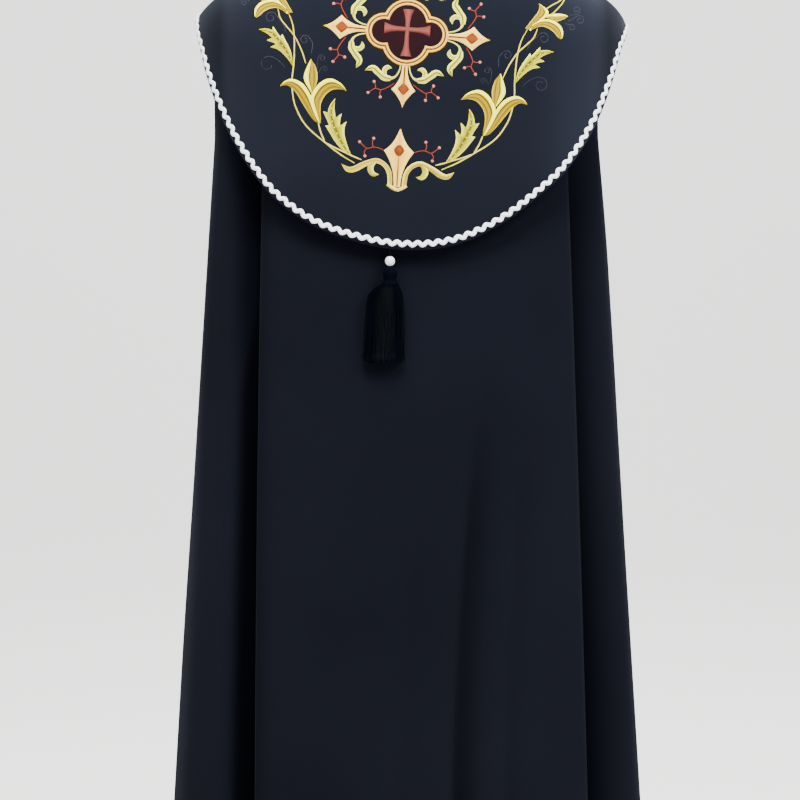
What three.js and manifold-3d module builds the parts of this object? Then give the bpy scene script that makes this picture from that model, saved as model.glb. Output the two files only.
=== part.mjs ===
// A cope: a long black cloak worn over the shoulders, open down the front, with a rounded hood
// hanging on the back, a wavy white braid near the hood's edge, and a tassel under its tip.
// Millimetres, +Z up. The wearer faces +Y, so the hood is on the -Y side. The origin is the centre
// of the neck opening, level with the points where the shoulders start.
import * as THREE from 'three';
import { mergeVertices } from 'three/addons/utils/BufferGeometryUtils.js';
import Module from 'manifold-3d';

const wasm = await Module();
wasm.setup();

const { abs, cos, sin, hypot, max, min, PI, sqrt } = Math;
const rad = THREE.MathUtils.degToRad;
const mix = THREE.MathUtils.lerp;
const smooth = (x, from, to) => THREE.MathUtils.smoothstep(x, from, to);

// Driving sizes.
const clothThickness = 2;
const hoodThickness = 2.5;
const seamGap = 0.3;
const hemHeight = -1360;

// The figure that fills the cope, each size given at centre back, the two sides and centre front.
const neckRadius = { back: 72, left: 75, right: 75, front: 78 };
const neckHeight = { back: 15, left: 0, right: 0, front: -52 };
const shoulderSlope = { back: 48, left: 27, right: 31, front: 45 };
const shoulderReach = { back: 60, left: 108, right: 114, front: 50 };
const brimHeight = { back: -190, left: -120, right: -124, front: -205 };
const brimRoll = { back: 70, left: 46, right: 34, front: 85 };

// Below the shoulders the cloak widens slowly to the hem.
const shoulderHalfWidth = 210.7;
const sideFlare = 0.07;
const flareStart = -220;
const backDepth = 126;
const frontDepth = 112;
const depthFlare = 0.05;
const depthFlareStart = -150;
const backSquareness = 3.2;
const frontSquareness = 2.4;

// Lines in the cloth: the angle from centre back at the neck, at the shoulders and at the hem.
// Negative angles are on the wearer's left.
const shoulderLevel = -150;
const clothLines = [
  { line: 'left front edge', neck: -154, shoulder: -167, hem: -152 },
  { line: 'left seam', neck: -90, shoulder: -90, hem: -90 },
  { line: 'left recess outer', neck: -66, shoulder: -67, hem: -58 },
  { line: 'left recess inner', neck: -53, shoulder: -54, hem: -44 },
  { line: 'centre back', neck: 0, shoulder: 0, hem: 0 },
  { line: 'right recess inner', neck: 59, shoulder: 60.6, hem: 53.2 },
  { line: 'right recess outer', neck: 76, shoulder: 78, hem: 71 },
  { line: 'right seam', neck: 90, shoulder: 90, hem: 90 },
  { line: 'right front edge', neck: 154, shoulder: 167, hem: 152 },
];

// Folds that sink into the cloak. from is the steep side and to the gentle one, as hem angles.
// deepest is where between them the fold is deepest, starts is the height it begins at, and
// shallow is its depth there as a share of the depth at the hem.
const folds = [
  { from: -44, to: -58, depth: 74, deepest: 0.36, starts: -135, opens: 110, shallow: 0.68 },
  { from: 53.2, to: 71, depth: 66, deepest: 0.3, starts: -130, opens: 110, shallow: 0.68 },
  { from: -95, to: -113, depth: 52, deepest: 0.42, starts: -230, opens: 300, shallow: 0.3 },
  { from: -134, to: -117, depth: 58, deepest: 0.45, starts: -215, opens: 260, shallow: 0.35 },
  { from: -148, to: -137, depth: 34, deepest: 0.5, starts: -330, opens: 320, shallow: 0.25 },
  { from: 96, to: 111, depth: 46, deepest: 0.45, starts: -280, opens: 320, shallow: 0.3 },
  { from: 131, to: 115, depth: 62, deepest: 0.42, starts: -205, opens: 240, shallow: 0.38 },
  { from: 147, to: 135, depth: 36, deepest: 0.5, starts: -300, opens: 300, shallow: 0.28 },
  { from: 13, to: 27, depth: 15, deepest: 0.5, starts: -560, opens: 700, shallow: 0.3 },
  { from: 38, to: 30, depth: 11, deepest: 0.5, starts: -640, opens: 650, shallow: 0.3 },
  { from: -10, to: 1, depth: 8, deepest: 0.5, starts: -760, opens: 600, shallow: 0.3 },
  { from: -33, to: -20, depth: 7, deepest: 0.5, starts: -820, opens: 500, shallow: 0.3 },
];

// Rows of the cloak's walls: shares of the way over the shoulder, then down the fall.
const shoulderRows = [0, 0.17, 0.34, 0.52, 0.7, 0.85, 1];
const fallRows = [0.035, 0.08, 0.13, 0.2, 0.3, 0.42, 0.56, 0.7, 0.85, 1];
const backColumns = 50;
const frontColumns = 29;

// The hood stands off the shoulders a little more at its sides than at its back.
const hoodLift = 3.3;
const hoodStandoff = { back: 9, left: 21.8, right: 32.8, front: 5 };
const hoodBrimHeight = { back: -190, left: -106, right: -114, front: -200 };
const hoodRoll = { back: 75, left: 36, right: 29, front: 80 };
const hoodFall = 0.07;

// The middle line of the braid, by the length of cloth from the neck edge down to it.
const braidLine = [
  { angle: -150, length: 20 },
  { angle: -138, length: 66 },
  { angle: -120, length: 124 },
  { angle: -104, length: 156 },
  { angle: -90, length: 174 },
  { angle: -81, length: 183 },
  { angle: -75, length: 194 },
  { angle: -70, length: 214 },
  { angle: -65, length: 244 },
  { angle: -60, length: 273.5 },
  { angle: -55, length: 299.5 },
  { angle: -50, length: 320 },
  { angle: -45, length: 335.5 },
  { angle: -35, length: 350.5 },
  { angle: -20, length: 358 },
  { angle: 0, length: 362.5 },
  { angle: 20, length: 361 },
  { angle: 35, length: 349 },
  { angle: 45, length: 332.5 },
  { angle: 50, length: 322 },
  { angle: 55, length: 304.5 },
  { angle: 60, length: 280.5 },
  { angle: 65, length: 250 },
  { angle: 70, length: 220 },
  { angle: 76, length: 204 },
  { angle: 83, length: 197 },
  { angle: 90, length: 192 },
  { angle: 104, length: 168 },
  { angle: 120, length: 126 },
  { angle: 138, length: 66 },
  { angle: 150, length: 20 },
];
const hoodTopInset = 4;
const hoodColumns = 46;
const hoodRows = [0, 0.06, 0.13, 0.21, 0.3, 0.4, 0.52, 0.64, 0.76, 0.88, 1];

// The wavy braid, and how far the hood's edge lies outside its middle line.
const braidInset = 6.2;
const braidBandWidth = 5;
const braidWaveHeight = 2;
const braidThickness = 1.6;
const braidWaves = 116;
const braidStepsPerWave = 4;
const braidLift = 0.45;

// The band round the neck and the tab that joins the fronts.
const bandHeight = 20;
const bandThickness = 3;
const bandColumns = 28;
const tabHalfWidth = 78;
const tabTop = -112;
const tabBottom = -182;
const tabThickness = 3;

// The tassel under the hood's tip, with its bead.
const tasselAngle = -6.5;
const hangerRadius = 1.2;
const beadRadius = 5.2;
const beadDrop = 12.7;
const tasselHeadDrop = 18.8;
const tasselHeadLength = 19;
const tasselHeadRadius = 7.6;
const skirtLength = 82;
const skirtWidth = 20;
const skirtDepth = 9;
const skirtDrift = { left: 8.5, back: 6 };
const strandCount = 72;
const strandRadius = { root: 0.6, tip: 0.95 };

// A size given at the back, the two sides and the front, at an angle between them.
function around({ back, left, right, front }, angle) {
  const c = cos(angle);
  const side = mix(left, right, 0.5 + 0.5 * sin(angle));
  return side + ((back - front) / 2) * c + ((back + front) / 2 - side) * c * c;
}

// The value of a column of a table at x, on a smooth curve through its rows.
function curveThrough(rows, across, column, x) {
  const last = rows.length - 1;
  let i = 0;
  while (i < last - 1 && x > rows[i + 1][across]) i += 1;
  const at = (k) => rows[min(max(k, 0), last)];
  const slope = (k) => {
    const [before, after] = [at(k - 1), at(k + 1)];
    return (after[column] - before[column]) / (after[across] - before[across]);
  };
  const [start, end] = [at(i), at(i + 1)];
  const span = end[across] - start[across];
  const t = min(max((x - start[across]) / span, 0), 1);
  const [t2, t3] = [t * t, t * t * t];
  return (2 * t3 - 3 * t2 + 1) * start[column] + (t3 - 2 * t2 + t) * span * slope(i)
    + (3 * t2 - 2 * t3) * end[column] + (t3 - t2) * span * slope(i + 1);
}

// The radius of the unfolded cloak at an angle and a height: a squared-off ellipse.
function girth(angle, height) {
  const deeper = depthFlare * max(0, depthFlareStart - height);
  const toBack = cos(angle) > 0;
  const width = shoulderHalfWidth + sideFlare * max(0, flareStart - height);
  const depth = (toBack ? backDepth : frontDepth) + deeper;
  const power = toBack ? backSquareness : frontSquareness;
  return ((abs(sin(angle)) / width) ** power + (abs(cos(angle)) / depth) ** power) ** (-1 / power);
}

// Where a line in the cloth, named by its angle at the hem, lies at a level of the cloak.
function clothAngle(hemAngle, level) {
  let i = 0;
  while (i < clothLines.length - 2 && hemAngle > clothLines[i + 1].hem) i += 1;
  const [a, b] = [clothLines[i], clothLines[i + 1]];
  const t = (hemAngle - a.hem) / (b.hem - a.hem);
  return mix(a[level], b[level], t);
}

// How far the folds sink in at a line of the cloth and a height.
function foldDepth(hemAngle, height) {
  let sunk = 0;
  for (const fold of folds) {
    const t = (hemAngle - fold.from) / (fold.to - fold.from);
    if (t <= 0 || t >= 1) continue;
    const shape = smooth(t, 0, fold.deepest) * (1 - smooth(t, fold.deepest, 1));
    const opened = smooth(fold.starts - height, 0, fold.opens);
    const down = (fold.starts - height) / (fold.starts - hemHeight);
    sunk += fold.depth * shape * opened * mix(fold.shallow, 1, min(max(down, 0), 1));
  }
  return sunk;
}

// A point of a curve with four handles, for the way over the shoulder.
function handleCurve(p0, p1, p2, p3, t) {
  const s = 1 - t;
  return s * s * s * p0 + 3 * s * s * t * p1 + 3 * s * t * t * p2 + t * t * t * p3;
}

// The curve from neck to brim in the upright plane at an angle, lifted and stood off the figure.
function overShoulder(angle, t, lift, brimRadius, brimTop, roll) {
  const slope = rad(around(shoulderSlope, angle));
  const reach = around(shoulderReach, angle);
  const startRadius = around(neckRadius, angle) + lift * sin(slope);
  const startHeight = around(neckHeight, angle) + lift * cos(slope);
  return {
    radius: handleCurve(startRadius, startRadius + reach * cos(slope), brimRadius, brimRadius, t),
    height: handleCurve(startHeight, startHeight - reach * sin(slope), brimTop + roll, brimTop, t),
  };
}

const inSpace = (angle, radius, height) =>
  new THREE.Vector3(radius * sin(angle), -radius * cos(angle), height);

// A point of the cloak's outer face: a line in the cloth, and 0 to 1 over the shoulder, 1 to 2 down.
function cloakPoint(hemAngle, way) {
  if (way <= 1) {
    const level = mix(clothAngle(hemAngle, 'neck'), clothAngle(hemAngle, 'shoulder'), smooth(way, 0, 1));
    const angle = rad(level);
    const brim = around(brimHeight, angle);
    const at = overShoulder(angle, way, 0, girth(angle, brim), brim, around(brimRoll, angle));
    return inSpace(angle, at.radius, at.height);
  }
  const brim = around(brimHeight, rad(clothAngle(hemAngle, 'shoulder')));
  const height = mix(brim, hemHeight, way - 1);
  const down = min(max((shoulderLevel - height) / (shoulderLevel - hemHeight), 0), 1);
  const angle = rad(mix(clothAngle(hemAngle, 'shoulder'), clothAngle(hemAngle, 'hem'), down));
  return inSpace(angle, girth(angle, height) - foldDepth(hemAngle, height), height);
}

// The hood's outer face: an angle from centre back, and the length of cloth from the neck.
const hoodCurveSteps = 36;
function hoodPoint(angleDegrees, length) {
  const angle = rad(angleDegrees);
  const brim = around(hoodBrimHeight, angle);
  const brimRadius = girth(angle, brim) + around(hoodStandoff, angle);
  const roll = around(hoodRoll, angle);
  let before = overShoulder(angle, 0, hoodLift, brimRadius, brim, roll);
  let run = 0;
  for (let i = 1; i <= hoodCurveSteps; i += 1) {
    const here = overShoulder(angle, i / hoodCurveSteps, hoodLift, brimRadius, brim, roll);
    const step = hypot(here.radius - before.radius, here.height - before.height);
    if (run + step >= length) {
      const t = (length - run) / step;
      return inSpace(angle, mix(before.radius, here.radius, t), mix(before.height, here.height, t));
    }
    run += step;
    before = here;
  }
  const past = length - run;
  return inSpace(angle, brimRadius + hoodFall * past, brim - past);
}

// The outward unit normal of a face given by two parameters, the second running down the cloth.
function outward(face, u, v, du, dv) {
  const across = face(u + du, v).sub(face(u - du, v));
  const down = face(u, v + dv).sub(face(u, v - dv));
  return down.cross(across).normalize();
}

// A closed mesh from positions and triangles.
function closedMesh(points, triangles) {
  const geometry = new THREE.BufferGeometry();
  geometry.setAttribute('position', new THREE.Float32BufferAttribute(points.flatMap((p) => [p.x, p.y, p.z]), 3));
  geometry.setIndex(triangles.flat());
  return geometry;
}

// A wall of cloth from a grid of outer points and normals: grid[column][row], columns to the right.
function wall(grid, thickness) {
  const columns = grid.length;
  const rows = grid[0].length;
  const outer = (c, r) => c * rows + r;
  const inner = (c, r) => columns * rows + c * rows + r;
  const points = grid.flat().map(({ point }) => point.clone());
  points.push(...grid.flat().map(({ point, normal }) => point.clone().addScaledVector(normal, -thickness)));
  const triangles = [];
  const quad = (a, b, c, d) => triangles.push([a, b, c], [a, c, d]);
  for (let c = 0; c < columns - 1; c += 1) {
    for (let r = 0; r < rows - 1; r += 1) {
      quad(outer(c, r), outer(c, r + 1), outer(c + 1, r + 1), outer(c + 1, r));
      quad(inner(c, r), inner(c + 1, r), inner(c + 1, r + 1), inner(c, r + 1));
    }
    quad(outer(c, 0), outer(c + 1, 0), inner(c + 1, 0), inner(c, 0));
    quad(outer(c, rows - 1), inner(c, rows - 1), inner(c + 1, rows - 1), outer(c + 1, rows - 1));
  }
  for (let r = 0; r < rows - 1; r += 1) {
    quad(outer(0, r), inner(0, r), inner(0, r + 1), outer(0, r + 1));
    const e = columns - 1;
    quad(outer(e, r), outer(e, r + 1), inner(e, r + 1), inner(e, r));
  }
  return closedMesh(points, triangles);
}

const evenSteps = (from, to, count) => Array.from({ length: count + 1 }, (_, i) => mix(from, to, i / count));

// Picks values so that the lengths between them, added up, come out equal.
function evenShares(values, lengths, count) {
  const last = values.length - 1;
  const runs = [0];
  for (let i = 1; i <= last; i += 1) runs.push(runs[i - 1] + lengths[i]);
  return Array.from({ length: count + 1 }, (_, k) => {
    const target = (runs[last] * k) / count;
    let i = 1;
    while (i < last && runs[i] < target) i += 1;
    return mix(values[i - 1], values[i], (target - runs[i - 1]) / (runs[i] - runs[i - 1]));
  });
}

// Columns at equal lengths of cloth along the hem and the upper fall, so that folds get their share.
function clothColumns(from, to, count) {
  const angles = evenSteps(from, to, 900);
  const hem = angles.map((angle) => cloakPoint(angle, 2));
  const upper = angles.map((angle) => cloakPoint(angle, 1.3));
  const lengths = angles.map((_, i) => (i ? hem[i].distanceTo(hem[i - 1]) + upper[i].distanceTo(upper[i - 1]) : 0));
  return evenShares(angles, lengths, count);
}

// One panel of the cloak between two lines in the cloth, drawn back from each seam by half the gap.
function cloakPanel(from, to, count, seamAtStart, seamAtEnd) {
  const ways = [...shoulderRows, ...fallRows.map((share) => 1 + share)];
  const columns = clothColumns(from, to, count);
  return columns.map((hemAngle, c) => ways.map((way) => {
    const inWay = min(max(way, 0.002), 1.998);
    const normal = outward(cloakPoint, hemAngle, inWay, 0.02, 0.002);
    const point = cloakPoint(hemAngle, way);
    const across = cloakPoint(hemAngle + 0.02, inWay).sub(cloakPoint(hemAngle - 0.02, inWay)).normalize();
    if (c === 0 && seamAtStart) point.addScaledVector(across, seamGap / 2);
    if (c === columns.length - 1 && seamAtEnd) point.addScaledVector(across, -seamGap / 2);
    if (way === 2) normal.setZ(0).normalize();
    return { point, normal };
  }));
}

const braidLength = (angle) => curveThrough(braidLine, 'angle', 'length', angle);

// A point on the hood a little outside the braid's middle line, square to that line.
function outsideBraid(angle, distance) {
  const length = braidLength(angle);
  const oneDegree = hoodPoint(angle, length).setZ(0).length() * rad(1);
  const rise = (braidLength(angle + 0.5) - braidLength(angle - 0.5));
  const step = distance / hypot(oneDegree, rise);
  return { angle: angle - (step * rise) / oneDegree, length: length + step * oneDegree };
}

// Angles at equal steps along the braid's middle line.
function alongBraid(from, to, steps) {
  const fine = 2400;
  const angles = evenSteps(from, to, fine);
  const points = angles.map((angle) => hoodPoint(angle, braidLength(angle)));
  return evenShares(angles, points.map((point, i) => (i ? point.distanceTo(points[i - 1]) : 0)), steps);
}

function hoodGrid() {
  return alongBraid(braidLine[0].angle, braidLine[braidLine.length - 1].angle, hoodColumns).map((angle) => {
    const edge = outsideBraid(angle, braidInset);
    return hoodRows.map((share) => {
      const [a, length] = [mix(angle, edge.angle, share), mix(hoodTopInset, edge.length, share)];
      return { point: hoodPoint(a, length), normal: outward(hoodPoint, a, length, 0.3, 2) };
    });
  });
}

// The braid follows its middle line, shifted from side to side in waves.
function braidGeometry() {
  const steps = braidWaves * braidStepsPerWave;
  const end = braidLine[braidLine.length - 1].angle - 1;
  const sections = alongBraid(-end, end, steps).map((angle, k) => {
    const length = braidLength(angle);
    const before = hoodPoint(angle - 0.4, braidLength(angle - 0.4));
    const tangent = hoodPoint(angle + 0.4, braidLength(angle + 0.4)).sub(before).normalize();
    const normal = outward(hoodPoint, angle, length, 0.3, 2);
    const inwards = normal.clone().cross(tangent).normalize();
    const wave = braidWaveHeight * sin((2 * PI * k) / braidStepsPerWave);
    const point = hoodPoint(angle, length).addScaledVector(inwards, wave).addScaledVector(normal, braidLift);
    return { point, normal, inwards };
  });
  return ribbon(sections, braidBandWidth, braidThickness);
}

// A flat band with four sides along a row of sections, each with its normal and its side direction.
function ribbon(sections, width, thickness) {
  const points = sections.flatMap(({ point, normal, inwards }) => [
    point.clone().addScaledVector(inwards, width / 2),
    point.clone().addScaledVector(inwards, -width / 2),
    point.clone().addScaledVector(inwards, -width / 2).addScaledVector(normal, thickness),
    point.clone().addScaledVector(inwards, width / 2).addScaledVector(normal, thickness),
  ]);
  return ringsToMesh(points, 4, sections.length);
}

// Joins rings of points, each with the same number of corners, and closes the two ends.
function ringsToMesh(points, corners, rings) {
  const triangles = [];
  for (let k = 0; k < rings - 1; k += 1) {
    for (let s = 0; s < corners; s += 1) {
      const [a, b] = [k * corners + s, k * corners + ((s + 1) % corners)];
      triangles.push([a, b, b + corners], [a, b + corners, a + corners]);
    }
  }
  const end = (rings - 1) * corners;
  for (let s = 1; s < corners - 1; s += 1) {
    triangles.push([0, s + 1, s], [end, end + s, end + s + 1]);
  }
  const volume = triangles.reduce((sum, [a, b, c]) => {
    const cross = new THREE.Vector3().crossVectors(points[b], points[c]);
    return sum + points[a].dot(cross);
  }, 0);
  if (volume < 0) triangles.forEach((t) => t.reverse());
  return closedMesh(points, triangles);
}

// The neck band stands on the cloak's neck edge, leaning in slightly.
function neckBand() {
  const lean = 3;
  const columns = evenSteps(clothLines[0].neck + 1, clothLines[clothLines.length - 1].neck - 1, bandColumns);
  return columns.map((angleDegrees) => {
    const angle = rad(angleDegrees);
    const foot = around(neckHeight, angle) + 2 * seamGap;
    const radius = around(neckRadius, angle);
    const normal = inSpace(angle, 1, 0);
    return [1, 0.5, 0].map((up) => ({
      point: inSpace(angle, radius - lean * up, foot + bandHeight * up),
      normal,
    }));
  });
}

// The chest tab bridges the gap between the fronts, lying on their outer faces.
function chestTab() {
  const face = (x, height) => {
    let angle = PI - x / frontDepth;
    for (let i = 0; i < 8; i += 1) angle = PI - Math.asin(x / frontFace(angle, height));
    return inSpace(angle, frontFace(angle, height), height);
  };
  const rows = [tabTop, mix(tabTop, tabBottom, 0.33), mix(tabTop, tabBottom, 0.67), tabBottom];
  return evenSteps(tabHalfWidth, -tabHalfWidth, 12).map((x) => rows.map((height) => {
    const normal = outward(face, x, height, -1, -1);
    return { point: face(x, height).addScaledVector(normal, 2 * seamGap + tabThickness), normal };
  }));
}

// The radius of the cloak's face over the chest, at a height above the brim.
function frontFace(angle, height) {
  const brim = around(brimHeight, angle);
  let [low, high] = [0, 1];
  for (let i = 0; i < 24; i += 1) {
    const middle = (low + high) / 2;
    const at = overShoulder(angle, middle, 0, girth(angle, brim), brim, around(brimRoll, angle));
    if (at.height > height) low = middle;
    else high = middle;
  }
  return overShoulder(angle, low, 0, girth(angle, brim), brim, around(brimRoll, angle)).radius;
}

// The bead is a ball with a hole down the middle for the hanger.
function beadGeometry() {
  const bore = hangerRadius + seamGap;
  const halfBore = sqrt(beadRadius ** 2 - bore ** 2);
  const start = Math.asin(halfBore / beadRadius);
  const arc = evenSteps(-start, start, 10).map((a) => new THREE.Vector2(beadRadius * cos(a), beadRadius * sin(a)));
  return new THREE.LatheGeometry([...arc, arc[0].clone()], 16).rotateX(PI / 2);
}

// A solid for joining, made from a closed geometry.
function solidFrom(geometry) {
  const bare = geometry.clone();
  bare.deleteAttribute('normal');
  bare.deleteAttribute('uv');
  const merged = mergeVertices(bare, 1e-3);
  return new wasm.Manifold(new wasm.Mesh({
    numProp: 3,
    vertProperties: merged.attributes.position.array,
    triVerts: new Uint32Array(merged.index.array),
  }));
}

function geometryFrom(solid) {
  const { vertProperties, triVerts } = solid.getMesh();
  const geometry = new THREE.BufferGeometry();
  geometry.setAttribute('position', new THREE.BufferAttribute(new Float32Array(vertProperties), 3));
  geometry.setIndex(new THREE.BufferAttribute(new Uint32Array(triVerts), 1));
  return geometry;
}

// The tassel's covered head, as a turned shape about its own axis, its top at height 0.
function tasselHead() {
  const profile = [[0, 0], [3.2, 0], [6.2, -2.5], [7.6, -7], [6.6, -12], [6.4, -13.5], [7.8, -16], [8, -19], [0, -19]];
  const scale = tasselHeadRadius / 7.6;
  const points = profile.map(([r, h]) => new THREE.Vector2(r * scale, h)).reverse();
  return new THREE.LatheGeometry(points, 18).rotateX(PI / 2);
}

// One strand: a thin three-sided rod that spreads outwards and ends at the skirt's foot.
function tasselStrand(index) {
  const goldenTurn = PI * (3 - sqrt(5));
  const share = sqrt((index + 0.5) / strandCount);
  const turn = index * goldenTurn;
  const rootSpread = share * (tasselHeadRadius - strandRadius.root * 1.5);
  const steps = [0, 0.2, 0.45, 0.72, 1];
  const uneven = 1 - 0.05 * (0.5 + 0.5 * sin(index * 2.4));
  const points = steps.flatMap((down) => {
    const spread = smooth(down, 0, 0.9);
    const x = mix(rootSpread, share * skirtWidth, spread) * cos(turn) - skirtDrift.left * down;
    const y = mix(rootSpread, share * skirtDepth, spread) * sin(turn) - skirtDrift.back * spread;
    const z = 2.5 - tasselHeadLength - (skirtLength + 2.5) * down * uneven;
    const size = mix(strandRadius.root, strandRadius.tip, down);
    return [0, 1, 2].map((corner) => {
      const a = turn + (corner * 2 * PI) / 3;
      return new THREE.Vector3(x + size * cos(a), y + size * sin(a), z);
    });
  });
  return ringsToMesh(points, 3, steps.length);
}

function tasselGeometry() {
  let solid = solidFrom(tasselHead());
  for (let i = 0; i < strandCount; i += 1) solid = solid.add(solidFrom(tasselStrand(i)));
  return geometryFrom(solid);
}

// Materials.
const cloakCloth = new THREE.MeshStandardMaterial({ color: 0x1f222b, roughness: 0.92, metalness: 0 });
const hoodCloth = new THREE.MeshStandardMaterial({ color: 0x2a2e3a, roughness: 0.88, metalness: 0 });
const whiteBraid = new THREE.MeshStandardMaterial({ color: 0xe9ebf2, roughness: 0.6, metalness: 0 });
const blackThread = new THREE.MeshStandardMaterial({ color: 0x0b0c12, roughness: 0.7, metalness: 0 });
const palePearl = new THREE.MeshStandardMaterial({ color: 0xd9d9dd, roughness: 0.3, metalness: 0 });

const cope = new THREE.Group();

function add(name, geometry, material, place) {
  const mesh = new THREE.Mesh(geometry, material);
  mesh.name = name;
  if (place) mesh.position.copy(place);
  cope.add(mesh);
}

const [leftEdge, leftSeam] = [clothLines[0].hem, clothLines[1].hem];
const [rightSeam, rightEdge] = [clothLines[clothLines.length - 2].hem, clothLines[clothLines.length - 1].hem];
add('back_panel', wall(cloakPanel(leftSeam, rightSeam, backColumns, true, true), clothThickness), cloakCloth);
add('left_front', wall(cloakPanel(leftEdge, leftSeam, frontColumns, false, true), clothThickness), cloakCloth);
add('right_front', wall(cloakPanel(rightSeam, rightEdge, frontColumns, true, false), clothThickness), cloakCloth);
add('neck_band', wall(neckBand(), bandThickness), cloakCloth);
add('chest_tab', wall(chestTab(), tabThickness), cloakCloth);
add('hood', wall(hoodGrid(), hoodThickness), hoodCloth);
add('hood_braid', braidGeometry(), whiteBraid);

// The hanger starts just under the middle of the hood's edge, and carries the bead and the tassel.
const tip = outsideBraid(tasselAngle, braidInset);
const tipNormal = outward(hoodPoint, tip.angle, tip.length, 0.3, 2);
const hangPoint = hoodPoint(tip.angle, tip.length).addScaledVector(tipNormal, -hoodThickness / 2);
hangPoint.z -= 2 * seamGap;
const hangerLength = tasselHeadDrop - 3 * seamGap;
const below = (drop) => hangPoint.clone().setZ(hangPoint.z - drop);
add('tassel_hanger', new THREE.CylinderGeometry(hangerRadius, hangerRadius, hangerLength, 8).rotateX(PI / 2),
  blackThread, below(hangerLength / 2));
add('tassel_bead', beadGeometry(), palePearl, below(beadDrop));
add('tassel', tasselGeometry(), blackThread, below(tasselHeadDrop - 2 * seamGap));

export default cope;
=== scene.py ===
# %% [markdown]
# # A black cope, dressed
# A cope is a long cloak that is worn over the shoulders and is open down the front. This one is
# seen from the back: a stiff rounded hood with gold embroidery hangs over plain black cloth, with
# a wavy white braid near the hood's edge and a tassel under its tip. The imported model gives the
# frame, and each cell below adds one piece or one finish to it. All lengths are in metres.

import bpy
import numpy as np
from mathutils import Matrix


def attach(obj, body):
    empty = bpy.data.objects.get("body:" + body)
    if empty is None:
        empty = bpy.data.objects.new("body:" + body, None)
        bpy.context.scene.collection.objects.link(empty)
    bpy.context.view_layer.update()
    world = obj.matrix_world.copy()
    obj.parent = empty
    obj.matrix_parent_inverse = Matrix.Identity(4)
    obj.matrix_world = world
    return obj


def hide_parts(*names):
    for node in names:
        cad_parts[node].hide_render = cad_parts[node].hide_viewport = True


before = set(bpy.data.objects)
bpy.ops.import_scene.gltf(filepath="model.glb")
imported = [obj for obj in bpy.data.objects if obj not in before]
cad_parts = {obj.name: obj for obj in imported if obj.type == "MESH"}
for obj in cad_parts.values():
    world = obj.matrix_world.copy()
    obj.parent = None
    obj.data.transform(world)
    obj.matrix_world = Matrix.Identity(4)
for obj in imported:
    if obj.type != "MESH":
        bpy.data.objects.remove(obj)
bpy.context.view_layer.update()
chance = np.random.default_rng(20)

# %% [markdown]
# ## Camera, floor and light
# The photograph looks level at the back of the cope from about 2.4 m, tipped 6 degrees down, with
# a long lens. The camera comes first, because everything else is judged through it.

# %% Camera
EYE = (-0.0067, -2.4, -0.26)
TIP_DOWN = np.radians(6.0)
PICTURE = 800  # steps across the picture
FOCUS = 2143  # focal length in steps of the picture

lens = bpy.data.cameras.new("back_view")
lens.sensor_width = 36.0
lens.lens = lens.sensor_width * FOCUS / PICTURE
camera = bpy.data.objects.new("back_view", lens)
camera.matrix_world = Matrix.Translation(EYE) @ Matrix.Rotation(np.pi / 2 - TIP_DOWN, 4, "X")
bpy.context.scene.collection.objects.link(camera)
bpy.context.scene.camera = camera
print("camera lens", round(lens.lens, 1), "mm")

# %% [markdown]
# The floor and the wall behind are one pale sheet with a soft bend, like a photographer's paper
# roll. It is only a stage, not part of the cope.

# %% Shader helper and the stage
def new_material(name, colour, roughness, sheen=0.0, sheen_roughness=0.4, specular=0.5):
    """A plain Principled finish: colour is linear RGB, and the other numbers go on its own sockets."""
    material = bpy.data.materials.new(name)
    material.use_nodes = True
    shader = material.node_tree.nodes["Principled BSDF"]
    shader.inputs["Base Color"].default_value = (*colour, 1.0)
    shader.inputs["Roughness"].default_value = roughness
    shader.inputs["Specular IOR Level"].default_value = specular
    shader.inputs["Sheen Weight"].default_value = sheen
    shader.inputs["Sheen Roughness"].default_value = sheen_roughness
    return material


def mesh_piece(name, points, faces, material):
    """A smooth mesh at the origin, from an array of points in metres and an array of faces."""
    mesh = bpy.data.meshes.new(name)
    mesh.from_pydata(points.reshape(-1, 3), [], faces)
    mesh.materials.append(material)
    mesh.polygons.foreach_set("use_smooth", np.full(len(mesh.polygons), True))
    piece = bpy.data.objects.new(name, mesh)
    bpy.context.scene.collection.objects.link(piece)
    return piece


def grid_faces(columns, rows, start=0):
    """Quads of a grid whose point (c, r) has number start + c * rows + r; they face columns x rows."""
    c, r = np.meshgrid(np.arange(columns - 1), np.arange(rows - 1), indexing="ij")
    a = (start + c * rows + r).ravel()
    return np.stack([a, a + 1, a + rows + 1, a + rows], 1)


FLOOR = -1.47
BEND, BEND_STARTS = 1.6, 4.6
turn = np.linspace(0, np.pi / 2, 25)
profile = np.concatenate([
    [[-6.0, FLOOR]],
    np.stack([BEND_STARTS + BEND * np.sin(turn), FLOOR + BEND * (1 - np.cos(turn))], 1),
    [[BEND_STARTS + BEND, 5.5]],
])
roll = np.stack([np.insert(profile, 0, across, axis=1) for across in (-7, 0, 7)])
paper = new_material("pale_paper", (0.70, 0.69, 0.68), 0.9)
paper_shader = paper.node_tree.nodes["Principled BSDF"]
paper_shader.inputs["Emission Color"].default_value = (0.97, 0.955, 0.94, 1)
paper_shader.inputs["Emission Strength"].default_value = 0.95
stage = mesh_piece("paper_roll", roll, grid_faces(3, len(profile))[:, ::-1], paper)
print("floor at", FLOOR)

# %% [markdown]
# The light is soft, as in a room with pale walls. Most of it comes from above, some from a window
# on each side, the right one brighter, and a little from the front. Soft light lets black cloth
# show its folds by slow changes from dark to darker.

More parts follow.
